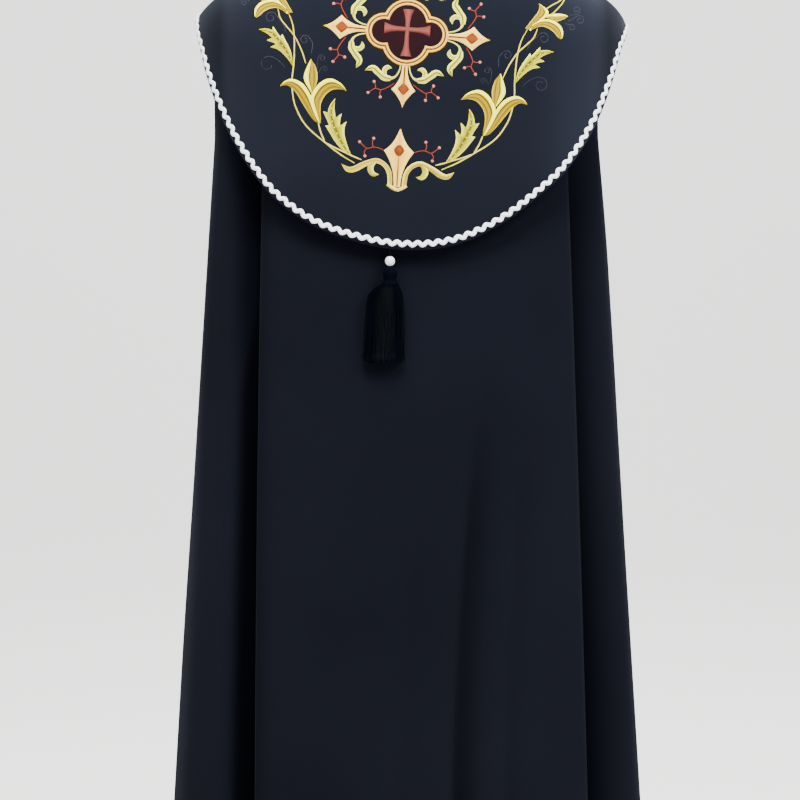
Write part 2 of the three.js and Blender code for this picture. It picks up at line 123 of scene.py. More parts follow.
# %% Lights
def soft_light(name, place, aim, size, power, colour=(1, 1, 1)):
    """An area light at place that faces aim."""
    light = bpy.data.lights.new(name, "AREA")
    light.shape, light.size, light.energy, light.color = "SQUARE", size, power, colour
    lamp = bpy.data.objects.new(name, light)
    away = np.subtract(place, aim)
    z = away / np.linalg.norm(away)
    x = np.cross((0, 0, 1), z)
    x /= np.linalg.norm(x)
    y = np.cross(z, x)
    turned = np.stack([x, y, z, place], 1)
    lamp.matrix_world = Matrix(np.vstack([turned, (0, 0, 0, 1)]))
    bpy.context.scene.collection.objects.link(lamp)


soft_light("ceiling", (-0.2, -1.9, 3.4), (0, 0, -0.5), 1.5, 640, (1.0, 0.99, 0.97))
soft_light("window_right", (2.3, -2.1, 2.1), (0, 0, -0.35), 1.5, 310, (0.97, 0.98, 1.0))
soft_light("window_left", (-2.0, -1.9, 2.5), (0, 0, -0.2), 1.5, 130, (0.97, 0.98, 1.0))
soft_light("front_fill", (1.5, 2.6, 2.4), (0, 0, -0.6), 2.4, 60)
world = bpy.data.worlds.new("room")
world.use_nodes = True
world.node_tree.nodes["Background"].inputs["Color"].default_value = (0.9, 0.93, 1.0, 1)
world.node_tree.nodes["Background"].inputs["Strength"].default_value = 0.20
bpy.context.scene.world = world

# %% [markdown]
# ## The form under the cloth
# The cloak is worked out as the solids were: a curve in each upright plane leads from the neck over
# the shoulder, and below it a squared-off ellipse widens slowly to the hem. A line in the cloth is
# named by its angle at the hem, from centre back, with the wearer's left as negative angles.

# %% Sizes of the form
SIZES = {  # centre back, left, right, centre front
    "neck radius": (0.072, 0.075, 0.075, 0.078),
    "neck height": (0.015, 0.0, 0.0, -0.052),
    "slope": (48, 27, 31, 45),
    "reach": (0.060, 0.108, 0.114, 0.050),
    "brim": (-0.190, -0.120, -0.124, -0.205),
    "roll": (0.070, 0.046, 0.034, 0.085),
    "hood standoff": (0.009, 0.0218, 0.0328, 0.005),
    "hood brim": (-0.190, -0.106, -0.114, -0.200),
    "hood roll": (0.075, 0.036, 0.056, 0.080),
}
HALF_WIDTH, SIDE_FLARE, SIDE_FLARE_STARTS = 0.2107, 0.07, -0.220
BACK_DEPTH, FRONT_DEPTH, DEPTH_FLARE = 0.126, 0.112, 0.05
BACK_SQUARENESS, FRONT_SQUARENESS = 3.2, 2.4
SHOULDER_LEVEL, HEM = -0.150, -1.360
CLOTH, HOOD_CLOTH, BOUND_CLOTH = 0.002, 0.0025, 0.003
HOOD_LIFT = 0.0033
HOOD_FALL = 0.07  # how far the hood leans out for each metre below its brim


def ease(x, start, end):
    """Rises from 0 at start to 1 at end, level at both: 3 t squared less 2 t cubed."""
    t = np.clip((x - start) / (end - start), 0, 1)
    return t * t * (3 - 2 * t)


def around(size, angle):
    """A size at an angle from centre back: the side's value plus terms in the cosine and its square."""
    back, left, right, front = SIZES[size]
    c = np.cos(angle)
    side = left + (right - left) * (0.5 + 0.5 * np.sin(angle))
    return side + (back - front) / 2 * c + ((back + front) / 2 - side) * c * c


def girth(angle, z):
    """Radius of the unfolded cloak: (sin/width)^n + (cos/depth)^n to the power -1/n."""
    width = HALF_WIDTH + SIDE_FLARE * np.maximum(0, SIDE_FLARE_STARTS - z)
    back = np.cos(angle) > 0
    depth = np.where(back, BACK_DEPTH, FRONT_DEPTH) + DEPTH_FLARE * np.maximum(0, SHOULDER_LEVEL - z)
    n = np.where(back, BACK_SQUARENESS, FRONT_SQUARENESS)
    return ((np.abs(np.sin(angle)) / width) ** n + (np.abs(np.cos(angle)) / depth) ** n) ** (-1 / n)


def over_shoulder(angle, t, lift, ring, brim, roll):
    """Radius and height on a curve with four handles: neck, along the slope, above the brim, brim."""
    slope = np.radians(around("slope", angle))
    reach = around("reach", angle)
    r0 = around("neck radius", angle) + lift * np.sin(slope)
    z0 = around("neck height", angle) + lift * np.cos(slope)
    s = 1 - t
    a, b, c, d = s ** 3, 3 * s * s * t, 3 * s * t * t, t ** 3
    return (a * r0 + b * (r0 + reach * np.cos(slope)) + (c + d) * ring,
            a * z0 + b * (z0 - reach * np.sin(slope)) + c * (brim + roll) + d * brim)


def in_space(angle, radius, z):
    """Points from an angle at centre back, a distance from the middle and a height."""
    return np.stack([radius * np.sin(angle), -radius * np.cos(angle), z + 0 * angle], -1)


# %% [markdown]
# ## Folds
# The two deep folds at the back, the wide ones at the front and the panel's shallow ones are in
# the solids. Much the same places and depths make them here, with softer sides. A last table adds
# the fine creases that cloth takes as it hangs: long, soft and uneven, most of them a few
# millimetres deep.

# %% Lines, folds and creases
LINES = np.array([  # angle at the neck, at the shoulders, at the hem
    (-154, -167, -152), (-90, -90, -90), (-66, -67, -58), (-53, -55.3, -44), (0, 0, 0),
    (59, 60.6, 53.2), (76, 78, 71), (90, 90, 90), (154, 167, 152)], float)

# The columns are: steep side, gentle side, depth, deepest from, deepest to, level again, height
# where it starts, height over which it opens, and share of the depth that it starts with. The
# middle three are shares of the way from the steep side to the gentle one.
FOLDS = [
    (-44.6, -58, 0.072, 0.20, 0.38, 0.64, -0.135, 0.11, 0.68),
    (-38.0, -58, 0.009, 0.34, 0.42, 0.80, -0.135, 0.11, 0.68),
    (52.0, 71, 0.066, 0.22, 0.24, 1.00, -0.130, 0.11, 0.68),
    (-95, -113, 0.052, 0.42, 0.42, 1.00, -0.230, 0.30, 0.30),
    (-134, -117, 0.058, 0.45, 0.45, 1.00, -0.215, 0.26, 0.35),
    (-148, -137, 0.034, 0.50, 0.50, 1.00, -0.330, 0.32, 0.25),
    (96, 111, 0.046, 0.45, 0.45, 1.00, -0.280, 0.32, 0.30),
    (131, 115, 0.062, 0.42, 0.42, 1.00, -0.205, 0.24, 0.38),
    (147, 135, 0.036, 0.50, 0.50, 1.00, -0.300, 0.30, 0.28),
]

# Wide shallow folds of the panel, and two swells of the drapes beside it.
TROUGHS = [  # middle, half-width, depth, starts at, opens over, share of the depth at the start
    (19.5, 4.6, 0.012, -0.560, 0.70, 0.30),
    (35.0, 3.4, 0.008, -0.640, 0.65, 0.30),
    (-2.0, 3.6, 0.007, -0.700, 0.60, 0.30),
    (-19.0, 3.0, 0.005, -0.760, 0.50, 0.30),
    (-31.0, 3.6, 0.006, -0.720, 0.50, 0.30),
    (-64.0, 5.5, -0.008, -0.160, 0.20, 0.60),
    (75.0, 5.0, -0.005, -0.160, 0.20, 0.60),
]

CREASES = [  # angle, drift to its end, half-width to its left, to its right, depth, from height, to
    (-51.5, 0.0, 2.4, 2.6, 0.0200, -0.02, -0.50),
    (31.0, -13.0, 3.4, 6.0, 0.0105, -0.42, -1.10),
    (44.0, -12.0, 2.8, 4.2, 0.0046, -0.40, -1.10),
    (37.5, -9.0, 2.4, 2.4, -0.0020, -0.50, -1.20),
    (8.0, -11.0, 4.4, 4.4, 0.0026, -0.46, -1.20),
    (-13.0, -5.0, 5.0, 5.0, 0.0020, -0.62, -1.30),
    (-30.0, 4.0, 4.6, 4.6, 0.0024, -0.50, -1.25),
    (-38.5, -1.5, 3.0, 3.0, 0.0016, -0.42, -1.30),
    (-64.0, -1.0, 3.4, 3.4, 0.0020, -0.42, -1.20),
    (-73.0, 2.0, 3.4, 3.4, -0.0020, -0.50, -1.36),
    (-84.0, 1.0, 4.2, 4.2, 0.0016, -0.55, -1.36),
    (77.0, 1.5, 3.0, 3.0, 0.0024, -0.45, -1.20),
    (85.0, -1.0, 3.6, 3.6, -0.0022, -0.50, -1.36),
    (-104.0, 3.0, 4.0, 4.0, 0.0034, -0.36, -1.10),
    (-126.0, -2.0, 3.0, 3.0, 0.0028, -0.30, -1.36),
    (-142.0, 1.0, 2.4, 2.4, -0.0022, -0.50, -1.36),
    (104.0, -2.0, 3.8, 3.8, 0.0032, -0.34, -1.20),
    (124.0, 2.0, 3.0, 3.0, 0.0028, -0.40, -1.36),
    (141.0, -1.0, 2.6, 2.6, -0.0022, -0.55, -1.36),
]


def opening(z, top, opens, shallow):
    """How open a fold is at a height: it opens below its top, then deepens evenly to the hem."""
    down = np.clip((top - z) / (top - HEM), 0, 1)
    return ease(top - z, 0, opens) * (shallow + (1 - shallow) * down)


def fold_depth(line, z):
    """How far the cloth sinks in: across each fold it falls to its depth and rises again, both eased."""
    sunk = np.zeros(np.broadcast(line, z).shape)
    for start, end, depth, deep_from, deep_to, level, *heights in FOLDS:
        t = (line - start) / (end - start)
        shape = ease(t, 0, deep_from) * (1 - ease(t, deep_to, level)) * ((t > 0) & (t < 1))
        sunk = sunk + depth * shape * opening(z, *heights)
    return sunk


def trough_depth(line, z):
    """The panel's shallow folds: bell curves that deepen towards the hem."""
    sunk = np.zeros(np.broadcast(line, z).shape)
    for middle, half, depth, *heights in TROUGHS:
        sunk = sunk + depth * np.exp(-((line - middle) / half) ** 2) * opening(z, *heights)
    return sunk


def crease_depth(line, z):
    """Fine creases: a bell curve across a line that drifts fast, then slowly, and fades in and out.

    The last term is the groove of the side seams."""
    groove = 0.0009 * np.exp(-((np.abs(line) - 90) / 0.8) ** 2)
    sunk = np.zeros(np.broadcast(line, z).shape)
    for angle, drift, left_half, right_half, depth, top, foot in CREASES:
        down = np.clip((top - z) / (top - foot), 0, 1)
        aside = line - angle - drift * down * (2 - down)
        bell = np.exp(-(aside / np.where(aside < 0, left_half, right_half)) ** 2)
        sunk = sunk + depth * bell * ease(down, 0, 0.35) * (1 - 0.7 * ease(down, 0.75, 1))
    return sunk + groove


def cloak_point(line, way):
    """The cloak's outer face: way runs 0 to 1 over the shoulder and 1 to 2 down to the hem."""
    neck, shoulder, hem = (np.interp(line, LINES[:, 2], LINES[:, k]) for k in range(3))
    upper = np.minimum(way, 1.0)
    angle = np.radians(neck + (shoulder - neck) * ease(upper, 0, 1))
    brim = around("brim", angle)
    r_up, z_up = over_shoulder(angle, upper, 0.0, girth(angle, brim), brim, around("roll", angle))
    z_down = brim + (HEM - brim) * np.clip(way - 1, 0, 1)
    level = np.clip((SHOULDER_LEVEL - z_down) / (SHOULDER_LEVEL - HEM), 0, 1)
    low = np.radians(shoulder + (hem - shoulder) * level)
    sunk = fold_depth(line, z_down) + trough_depth(line, z_down) + crease_depth(line, z_down)
    r_down = girth(low, z_down) - sunk
    above = way <= 1
    return in_space(np.where(above, angle, low), np.where(above, r_up, r_down), np.where(above, z_up, z_down))


# %% [markdown]
# ## Making cloth from a surface
# Each panel is a grid of points on its outer face. The Solidify modifier then gives it its
# thickness on the inside, which keeps the face where the solid has it. The grid also carries a
# map in metres, across and down the cloth, so that the weave keeps its size over every fold.

# %% Cloth helper
def running(points, axis=0):
    """Running length from 0 along an axis of a line or a grid of points."""
    step = np.linalg.norm(np.diff(points, axis=axis), axis=-1)
    pad = [(0, 0)] * step.ndim
    pad[axis] = (1, 0)
    return np.cumsum(np.pad(step, pad), axis=axis)


def lay_map(piece, name, flat):
    """Gives a piece a map in metres, from one place in flat for each of its points."""
    corner = np.empty(len(piece.data.loops), int)
    piece.data.loops.foreach_get("vertex_index", corner)
    layer = piece.data.uv_layers.new(name=name)
    layer.data.foreach_set("uv", flat.reshape(-1, 2)[corner].ravel().astype(np.float32))


def cloth_piece(name, points, thickness, material, painted_light_and_shade=0.0):
    """A sheet from grid[column][row] of outer points, thickened inwards, with its map in metres.

    The last argument is painted shade: 0 on the open face and 1 deep in a fold; below 0 it is
    painted light. The finish reads it."""
    columns, rows = points.shape[:2]
    piece = mesh_piece(name, points, grid_faces(columns, rows), material)
    across = running(points, 0)
    lay_map(piece, "cloth", np.stack([across - across[columns // 2], running(points, 1)], -1))
    depth = piece.data.attributes.new("painted_light_and_shade", "FLOAT", "POINT")
    depth.data.foreach_set("value", np.broadcast_to(painted_light_and_shade, (columns, rows)).ravel().astype(np.float32))
    wall = piece.modifiers.new("thickness", "SOLIDIFY")
    wall.thickness, wall.offset = thickness, -1.0
    wall.use_even_offset = True
    wall.thickness_clamp = 0.0
    return piece


def print_cut(piece):
    """Prints the cloth that a piece takes: its longest lengths across and down, and its area."""
    flat = np.empty(len(piece.data.loops) * 2)
    piece.data.uv_layers["cloth"].data.foreach_get("uv", flat)
    area = np.empty(len(piece.data.polygons))
    piece.data.polygons.foreach_get("area", area)
    longest = np.round(np.ptp(flat.reshape(-1, 2), axis=0), 3).tolist()
    print(piece.name, longest, "m, area", round(area.sum(), 4))


def even_lines(start, end, count):
    """Lines of the cloth at equal lengths along the hem, found by adding up a fine walk."""
    fine = np.linspace(start, end, 3000)
    run = running(cloak_point(fine, np.full(3000, 2.0)))
    print("hem length from", start, "to", end, "is", round(run[-1], 3))
    return np.interp(np.linspace(0, run[-1], count), run, fine)


def cloak_panel(name, start, end, columns):
    """A panel between two lines. Neighbours meet at the side seams."""
    lines, rows = even_lines(start, end, columns), 220
    ways = np.concatenate([np.linspace(0, 1, rows // 6, endpoint=False), np.linspace(1, 2, rows - rows // 6)])
    grid = cloak_point(lines[:, None] + 0 * ways, ways + 0 * lines[:, None])
    line, z = lines[:, None], grid[..., 2]
    # Painted shade: the cloth is darkened where it sinks into a deep fold, and less in the shallow ones.
    painted_fold_shade = ease(fold_depth(line, z), 0.0, np.where(line < 0, 0.018, 0.048))
    painted_crease_shade = 0.55 * ease(trough_depth(line, z) + crease_depth(line, z), 0.001, 0.015)
    return cloth_piece(name, grid, CLOTH, cloak_cloth, np.maximum(painted_fold_shade, painted_crease_shade) * (ways > 1))


# %% [markdown]
# ## Black cloth
# The cloak is a smooth, closely woven cloth in a black with a cool cast. What the eye reads as
# black cloth is mostly its faint sheen, a fine diagonal of the weave, and slow changes in tone.
# The weave is two crossed fine waves on the cloth's own map, used as bump, and noise shifts the
# colour a little, as wear and dust do. Deep in the folds the colour and the sheen are darkened by
# painted shade.

# %% Cloth finish
def wave_bands(tree, source, spacing, angle):
    """Bands across a map: one Wave texture of a spacing in metres, turned by angle in degrees.

    At a scale of 1 the texture repeats every tenth of pi."""
    turn_map = tree.nodes.new("ShaderNodeMapping")
    turn_map.inputs["Rotation"].default_value = (0, 0, np.radians(angle))
    bands = tree.nodes.new("ShaderNodeTexWave")
    bands.wave_profile = "SIN"
    bands.inputs["Scale"].default_value = np.pi / 10 / spacing
    tree.links.new(source, turn_map.inputs["Vector"])
    tree.links.new(turn_map.outputs["Vector"], bands.inputs["Vector"])
    return bands.outputs["Fac"]


def math_node(tree, operation, a, b):
    """One Math node; a and b are sockets or numbers."""
    node = tree.nodes.new("ShaderNodeMath")
    node.operation = operation
    for socket, value in zip(node.inputs, (a, b)):
        if isinstance(value, (int, float)):
            socket.default_value = value
        else:
            tree.links.new(value, socket)
    return node.outputs[0]


def weighted(tree, *parts):
    """The sum of sockets, each times its own weight."""
    total = math_node(tree, "MULTIPLY", *parts[0])
    for part in parts[1:]:
        total = math_node(tree, "ADD", total, math_node(tree, "MULTIPLY", *part))
    return total


def map_of(tree, name):
    """The piece's own map of a name."""
    node = tree.nodes.new("ShaderNodeUVMap")
    node.uv_map = name
    return node.outputs["UV"]


def noise(tree, scale, detail=2.0):
    """Noise over the piece's own space."""
    place_of = tree.nodes.new("ShaderNodeTexCoord")
    node = tree.nodes.new("ShaderNodeTexNoise")
    node.inputs["Scale"].default_value = scale
    node.inputs["Detail"].default_value = detail
    tree.links.new(place_of.outputs["Object"], node.inputs["Vector"])
    return node.outputs["Fac"]


def colour_ramp(tree, source, low_at, low, high_at, high):
    """Colours between low, where source is low_at, and high, where it is high_at."""
    ramp = tree.nodes.new("ShaderNodeValToRGB")
    for element, at, colour in zip(ramp.color_ramp.elements, (low_at, high_at), (low, high)):
        element.position, element.color = at, (*colour, 1)
    tree.links.new(source, ramp.inputs["Fac"])
    return ramp.outputs["Color"]


def multiplied(tree, a, b):
    """A colour times another one."""
    node = tree.nodes.new("ShaderNodeMix")
    node.data_type, node.blend_type = "RGBA", "MULTIPLY"
    node.inputs["Factor"].default_value = 1.0
    tree.links.new(a, node.inputs["A"])
    tree.links.new(b, node.inputs["B"])
    return node.outputs["Result"]


def add_relief(tree, height, strength, depth):
    """Bump on the finish, depth metres from its low parts to its high ones."""
    bump = tree.nodes.new("ShaderNodeBump")
    bump.inputs["Strength"].default_value = strength
    bump.inputs["Distance"].default_value = depth
    tree.links.new(height, bump.inputs["Height"])
    tree.links.new(bump.outputs["Normal"], tree.nodes["Principled BSDF"].inputs["Normal"])


WEAVE, WEAVE_DEPTH = 0.0006, 0.00012


def woven_material(name, colour, light_colour, sheen):
    """Woven cloth in a colour that light_colour breaks up.

    An attribute paints shade into its colour and sheen in the folds, and paints light where it is below 0.
    """
    material = new_material(name, colour, 0.95, sheen, 0.5, 0.0)
    tree = material.node_tree
    shader = tree.nodes["Principled BSDF"]
    shader.inputs["Sheen Tint"].default_value = (0.75, 0.82, 1.0, 1)
    twill, rib = (wave_bands(tree, map_of(tree, "cloth"), WEAVE, angle) for angle in (63, -27))
    weave = weighted(tree, (twill, 0.65), (rib, 0.35))
    slubs, clouds = noise(tree, 900), noise(tree, 5, 5.0)
    tone = weighted(tree, (weave, 0.45), (slubs, 0.35), (clouds, 0.45))
    # Painted shade and painted light: the attribute darkens or brightens the colour and the sheen.
    painted_shading_node = tree.nodes.new("ShaderNodeAttribute")
    painted_shading_node.attribute_name = "painted_light_and_shade"
    painted_shading_factor = math_node(tree, "SUBTRACT", 1.0, math_node(tree, "MULTIPLY", painted_shading_node.outputs["Fac"], 0.72))
    cloth_tone_with_painted_shading = multiplied(tree, colour_ramp(tree, tone, 0.25, colour, 0.95, light_colour), painted_shading_factor)
    tree.links.new(cloth_tone_with_painted_shading, shader.inputs["Base Color"])
    tree.links.new(math_node(tree, "MULTIPLY", painted_shading_factor, sheen), shader.inputs["Sheen Weight"])
    add_relief(tree, weighted(tree, (weave, 1.0), (slubs, 0.5)), 0.5, WEAVE_DEPTH)
    return material


cloak_cloth = woven_material("cloak_cloth", (0.0016, 0.0018, 0.0031), (0.0046, 0.0051, 0.0082), 0.022)
hood_cloth = woven_material("hood_cloth", (0.0017, 0.0021, 0.0038), (0.0048, 0.0058, 0.0092), 0.075)

# %% [markdown]
# ## The cloak
# A maker cuts the cloak as a back and two fronts, joined by seams down the sides.

# %% Back and fronts
back = cloak_panel("back_cloth", -90, 90, 190)
left = cloak_panel("left_front_cloth", -152, -90, 96)
right = cloak_panel("right_front_cloth", 90, 152, 96)
for piece, node, flat, area in ((back, "back_panel", (1.03, 1.45), 1.12),
                                (left, "left_front", (0.43, 1.435), 0.43),
                                (right, "right_front", (0.44, 1.435), 0.44)):
    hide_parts(node)
    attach(piece, "root")
    print_cut(piece)

# %% [markdown]
# ## The hood's surface
# The hood has a curve of its own over the shoulders, which stands off the cloak, and below its
# brim it falls almost straight. The braid's line on it was measured, and the hood's edge runs a
# little outside that line. So a place on the hood is an angle and a length of cloth from the neck.

# %% Hood surface
BRAID_LINE = np.array([  # angle, length of cloth from the neck edge to the middle of the braid
    (-150, 0.0200), (-138, 0.0662), (-120, 0.1242), (-104, 0.1561), (-90, 0.1740), (-81, 0.1830),
    (-75, 0.1941), (-70, 0.2141), (-65, 0.2442), (-60, 0.2737), (-55, 0.2997), (-50, 0.3202),
    (-45, 0.3357), (-35, 0.3506), (-20, 0.3581), (0, 0.3625), (20, 0.3611), (35, 0.3495),
    (45, 0.3337), (50, 0.3237), (55, 0.3068), (60, 0.2834), (65, 0.2535), (70, 0.2241),
    (76, 0.2086), (83, 0.2020), (90, 0.1973), (104, 0.1730), (120, 0.1293), (138, 0.0672),
    (150, 0.0200)])
BRAID_INSET = 0.0062


def curve_through(table, x):
    """A smooth curve through the rows of a table: cubic pieces whose slopes join neighbours."""
    xs, ys = table[:, 0], table[:, 1]
    number = np.arange(len(xs))
    before, after = np.maximum(number - 1, 0), np.minimum(number + 1, len(xs) - 1)
    slope = (ys[after] - ys[before]) / (xs[after] - xs[before])
    i = np.clip(np.searchsorted(xs, x) - 1, 0, len(xs) - 2)
    span = xs[i + 1] - xs[i]
    t = np.clip((x - xs[i]) / span, 0, 1)
    return ((2 * t ** 3 - 3 * t ** 2 + 1) * ys[i] + (t ** 3 - 2 * t ** 2 + t) * span * slope[i]
            + (3 * t ** 2 - 2 * t ** 3) * ys[i + 1] + (t ** 3 - t ** 2) * span * slope[i + 1])


def hood_point(degrees, length):
    """The hood's outer face: walk length metres down the curve over the shoulder, then straight on."""
    degrees, length = np.broadcast_arrays(np.asarray(degrees, float), np.asarray(length, float))
    angle = np.radians(degrees)
    brim = around("hood brim", angle)
    ring = girth(angle, brim) + around("hood standoff", angle)
    t = np.linspace(0, 1, 37).reshape((37,) + (1,) * angle.ndim)
    r, z = over_shoulder(angle, t, HOOD_LIFT, ring, brim, around("hood roll", angle))
    run = np.concatenate([0 * r[:1], np.cumsum(np.hypot(np.diff(r, axis=0), np.diff(z, axis=0)), 0)])
    i = np.clip((run <= length).sum(0) - 1, 0, 35)[None]
    pick = lambda table, k: np.take_along_axis(table, k, 0)[0]
    share = (length - pick(run, i)) / (pick(run, i + 1) - pick(run, i))
    past = np.maximum(length - run[-1], 0)
    on_curve = past <= 0
    radius = np.where(on_curve, pick(r, i) + (pick(r, i + 1) - pick(r, i)) * share, ring + HOOD_FALL * past)
    height = np.where(on_curve, pick(z, i) + (pick(z, i + 1) - pick(z, i)) * share, brim - past)
    return in_space(angle, radius, height)


def outside_braid(degrees, distance):
    """Angle and length a distance outside the braid's line, square to it on the cloth."""
    length = curve_through(BRAID_LINE, degrees)
    degree = np.linalg.norm(hood_point(degrees, length)[..., :2], axis=-1) * np.radians(1)
    rise = curve_through(BRAID_LINE, degrees + 0.5) - curve_through(BRAID_LINE, degrees - 0.5)
    step = distance / np.hypot(degree, rise)
    return degrees - step * rise / degree, length + step * degree


def along_braid(start, end, count):
    """Angles at equal steps along the braid's middle line."""
    fine = np.linspace(start, end, 2401)
    run = running(hood_point(fine, curve_through(BRAID_LINE, fine)))
    return np.interp(np.linspace(0, run[-1], count), run, fine), run[-1]


def hood_normal(degrees, length):
    """Outward unit normal: down the cloth crossed with across it."""
    across = hood_point(degrees + 0.3, length) - hood_point(degrees - 0.3, length)
    down = hood_point(degrees, length + 0.002) - hood_point(degrees, length - 0.002)
    normal = np.cross(down, across)
    return normal / np.linalg.norm(normal, axis=-1, keepdims=True)


# %% [markdown]
# ## The hood
# On the oldest copes this was a real hood. Here it is a stiffened, rounded flap, which hangs from
# the neck and stands off the shoulders. Its cloth is painted lighter towards the top and the sides,
# and darker again at its outermost edges: painted light and painted shade.

# %% Hood
NECK_INSET = 0.004
hood_angles, braid_length = along_braid(-150, 150, 240)
edge_angle, edge_length = outside_braid(hood_angles, BRAID_INSET)
share = np.linspace(0, 1, 84)
grid_angle = hood_angles[:, None] + (edge_angle - hood_angles)[:, None] * share
grid_length = NECK_INSET + (edge_length[:, None] - NECK_INSET) * share
hood_points = hood_point(grid_angle, grid_length)
hood_x, hood_z = hood_points[..., 0], hood_points[..., 2]
# Painted light on the hood: lighter towards its top and sides, then darker at its outermost edges as painted
# shade.
painted_light_at_top = 0.30 * ease(hood_z, -0.31, -0.22)
painted_light_at_sides = 0.50 * ease(hood_x, 0.13, 0.18) + 0.12 * ease(-hood_x, 0.10, 0.15)
painted_shade_at_edges = 1.7 * ease(np.abs(hood_x - 0.006), 0.190, 0.222)
hood_painted_light = np.clip(painted_light_at_top + painted_light_at_sides - painted_shade_at_edges, -0.3, 0.9)
hood = cloth_piece("hood_cloth", hood_points, HOOD_CLOTH, hood_cloth, -hood_painted_light)
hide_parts("hood")
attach(hood, "root")
print_cut(hood)
print("braid line", round(braid_length, 3), "m")

# %% [markdown]
# ## White wavy braid
# The braid is a flat woven band that was made to run in waves. Its middle line follows the hood's
# edge 6 mm inside it, and each section of the band is shifted to one side and then the other.
# Its section is a flattened round, a little thicker where the waves turn.

# %% Braid
def upright_frame(degrees):
    """Points, outward normals and inward directions along the braid's middle line."""
    length = curve_through(BRAID_LINE, degrees)
    before = hood_point(degrees - 0.4, curve_through(BRAID_LINE, degrees - 0.4))
    after = hood_point(degrees + 0.4, curve_through(BRAID_LINE, degrees + 0.4))
    tangent = (after - before) / np.linalg.norm(after - before, axis=-1, keepdims=True)
    normal = hood_normal(degrees, length)
    inwards = np.cross(normal, tangent)
    return hood_point(degrees, length), normal, inwards / np.linalg.norm(inwards, axis=-1, keepdims=True)


def tube_faces(rings, sides):
    """Quads of a tube of rings with the same number of sides, without its ends."""
    ring, side = np.meshgrid(np.arange(rings - 1), np.arange(sides), indexing="ij")
    a, b = (ring * sides + side).ravel(), (ring * sides + (side + 1) % sides).ravel()
    return np.stack([a, b, b + sides, a + sides], 1)


def tube_piece(name, points, material):
    """A closed tube from points[ring][side], with a face at each end."""
    rings, sides = points.shape[:2]
    ends = [tuple(range(sides - 1, -1, -1)), tuple((rings - 1) * sides + k for k in range(sides))]
    return mesh_piece(name, points, tube_faces(rings, sides).tolist() + ends, material)


WAVES, STEPS, BAND_SIDES = 126, 16, 12
SWING, BAND_HALF, BAND_RISE = 0.0016, 0.0022, 0.0009
braid_angles, _ = along_braid(-149, 149, WAVES * STEPS + 1)
middle, normal, inwards = upright_frame(braid_angles)
phase = 2 * np.pi * np.arange(WAVES * STEPS + 1) / STEPS
swing = SWING * np.sin(phase)
slope = SWING * np.cos(phase) * 2 * np.pi * WAVES / braid_length
ahead = np.cross(inwards, normal)
sideways = inwards - ahead * slope[:, None]
sideways /= np.linalg.norm(sideways, axis=1, keepdims=True)
band_turn = 2 * np.pi * np.arange(BAND_SIDES) / BAND_SIDES
round_x, round_y = (np.sign(wave) * np.abs(wave) ** 0.8 for wave in (np.cos(band_turn), np.sin(band_turn)))
side = BAND_HALF * round_x + 0 * phase[:, None]
rise = BAND_RISE + (BAND_RISE + 0.00015 * np.abs(np.sin(phase)))[:, None] * round_y
swung = (middle + inwards * swing[:, None])[:, None]
braid_points = swung + sideways[:, None] * side[..., None] + normal[:, None] * rise[..., None]
white = new_material("white_braid", (0.80, 0.81, 0.84), 0.6, 0.15, 0.4, 0.3)
braid = tube_piece("wavy_braid", braid_points, white)
run = np.linspace(0, braid_length, len(phase))
lay_map(braid, "band", np.stack([np.broadcast_to(run[:, None], side.shape), side], -1))
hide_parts("hood_braid")
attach(braid, "root")
print("braid:", WAVES, "waves of", round(braid_length / WAVES * 1000, 1), "mm")

# %% [markdown]
# ## The braid's yarns
# Two crossed sets of fine bands on the braid's own map stand for its plaited yarns.

# %% Braid finish
PLAIT, PLAIT_DEPTH = 0.0011, 0.00025  # spacing and relief of the crossed yarns
tree = white.node_tree
yarns = (wave_bands(tree, map_of(tree, "band"), PLAIT, lean) for lean in (38, -38))
plait = math_node(tree, "MAXIMUM", *yarns)
white_tone = colour_ramp(tree, plait, 0.3, (0.52, 0.54, 0.60), 0.9, (0.86, 0.87, 0.90))
tree.links.new(white_tone, tree.nodes["Principled BSDF"].inputs["Base Color"])
add_relief(tree, plait, 0.7, PLAIT_DEPTH)

# %% [markdown]
# ## Neck band and chest tab
# A maker binds the neck edge with a narrow band, and a tab of the same cloth holds the fronts
# together over the chest. Both are hidden from behind and are finished plainly.

# %% Neck band and chest tab
def front_radius(angle, z):
    """Radius of the cloak's face at an angle and a height above the brim, by halving the way."""
    brim = around("brim", angle)
    low, high = np.zeros(angle.shape), np.ones(angle.shape)
    for _ in range(30):
        half = (low + high) / 2
        _, height = over_shoulder(angle, half, 0.0, girth(angle, brim), brim, around("roll", angle))
        low, high = np.where(height > z, half, low), np.where(height > z, high, half)
    return over_shoulder(angle, low, 0.0, girth(angle, brim), brim, around("roll", angle))[0]


def tab_face(x, z):
    """A point of the fronts' faces at a place across the chest and a height."""
    angle = np.pi - x / FRONT_DEPTH
    for _ in range(10):
        angle = np.pi - np.arcsin(np.clip(x / front_radius(angle, z), -1, 1))
    return in_space(angle, front_radius(angle, z), z)


BAND_HEIGHT, LEAN_IN = 0.020, 0.003
TAB_HALF, TAB_TOP, TAB_FOOT = 0.078, -0.112, -0.182
TAB_OFF = 0.0006  # how far the tab and the band lie off the cloth
SEWN_IN = 0.006  # from the tab's edge to its row of stitches

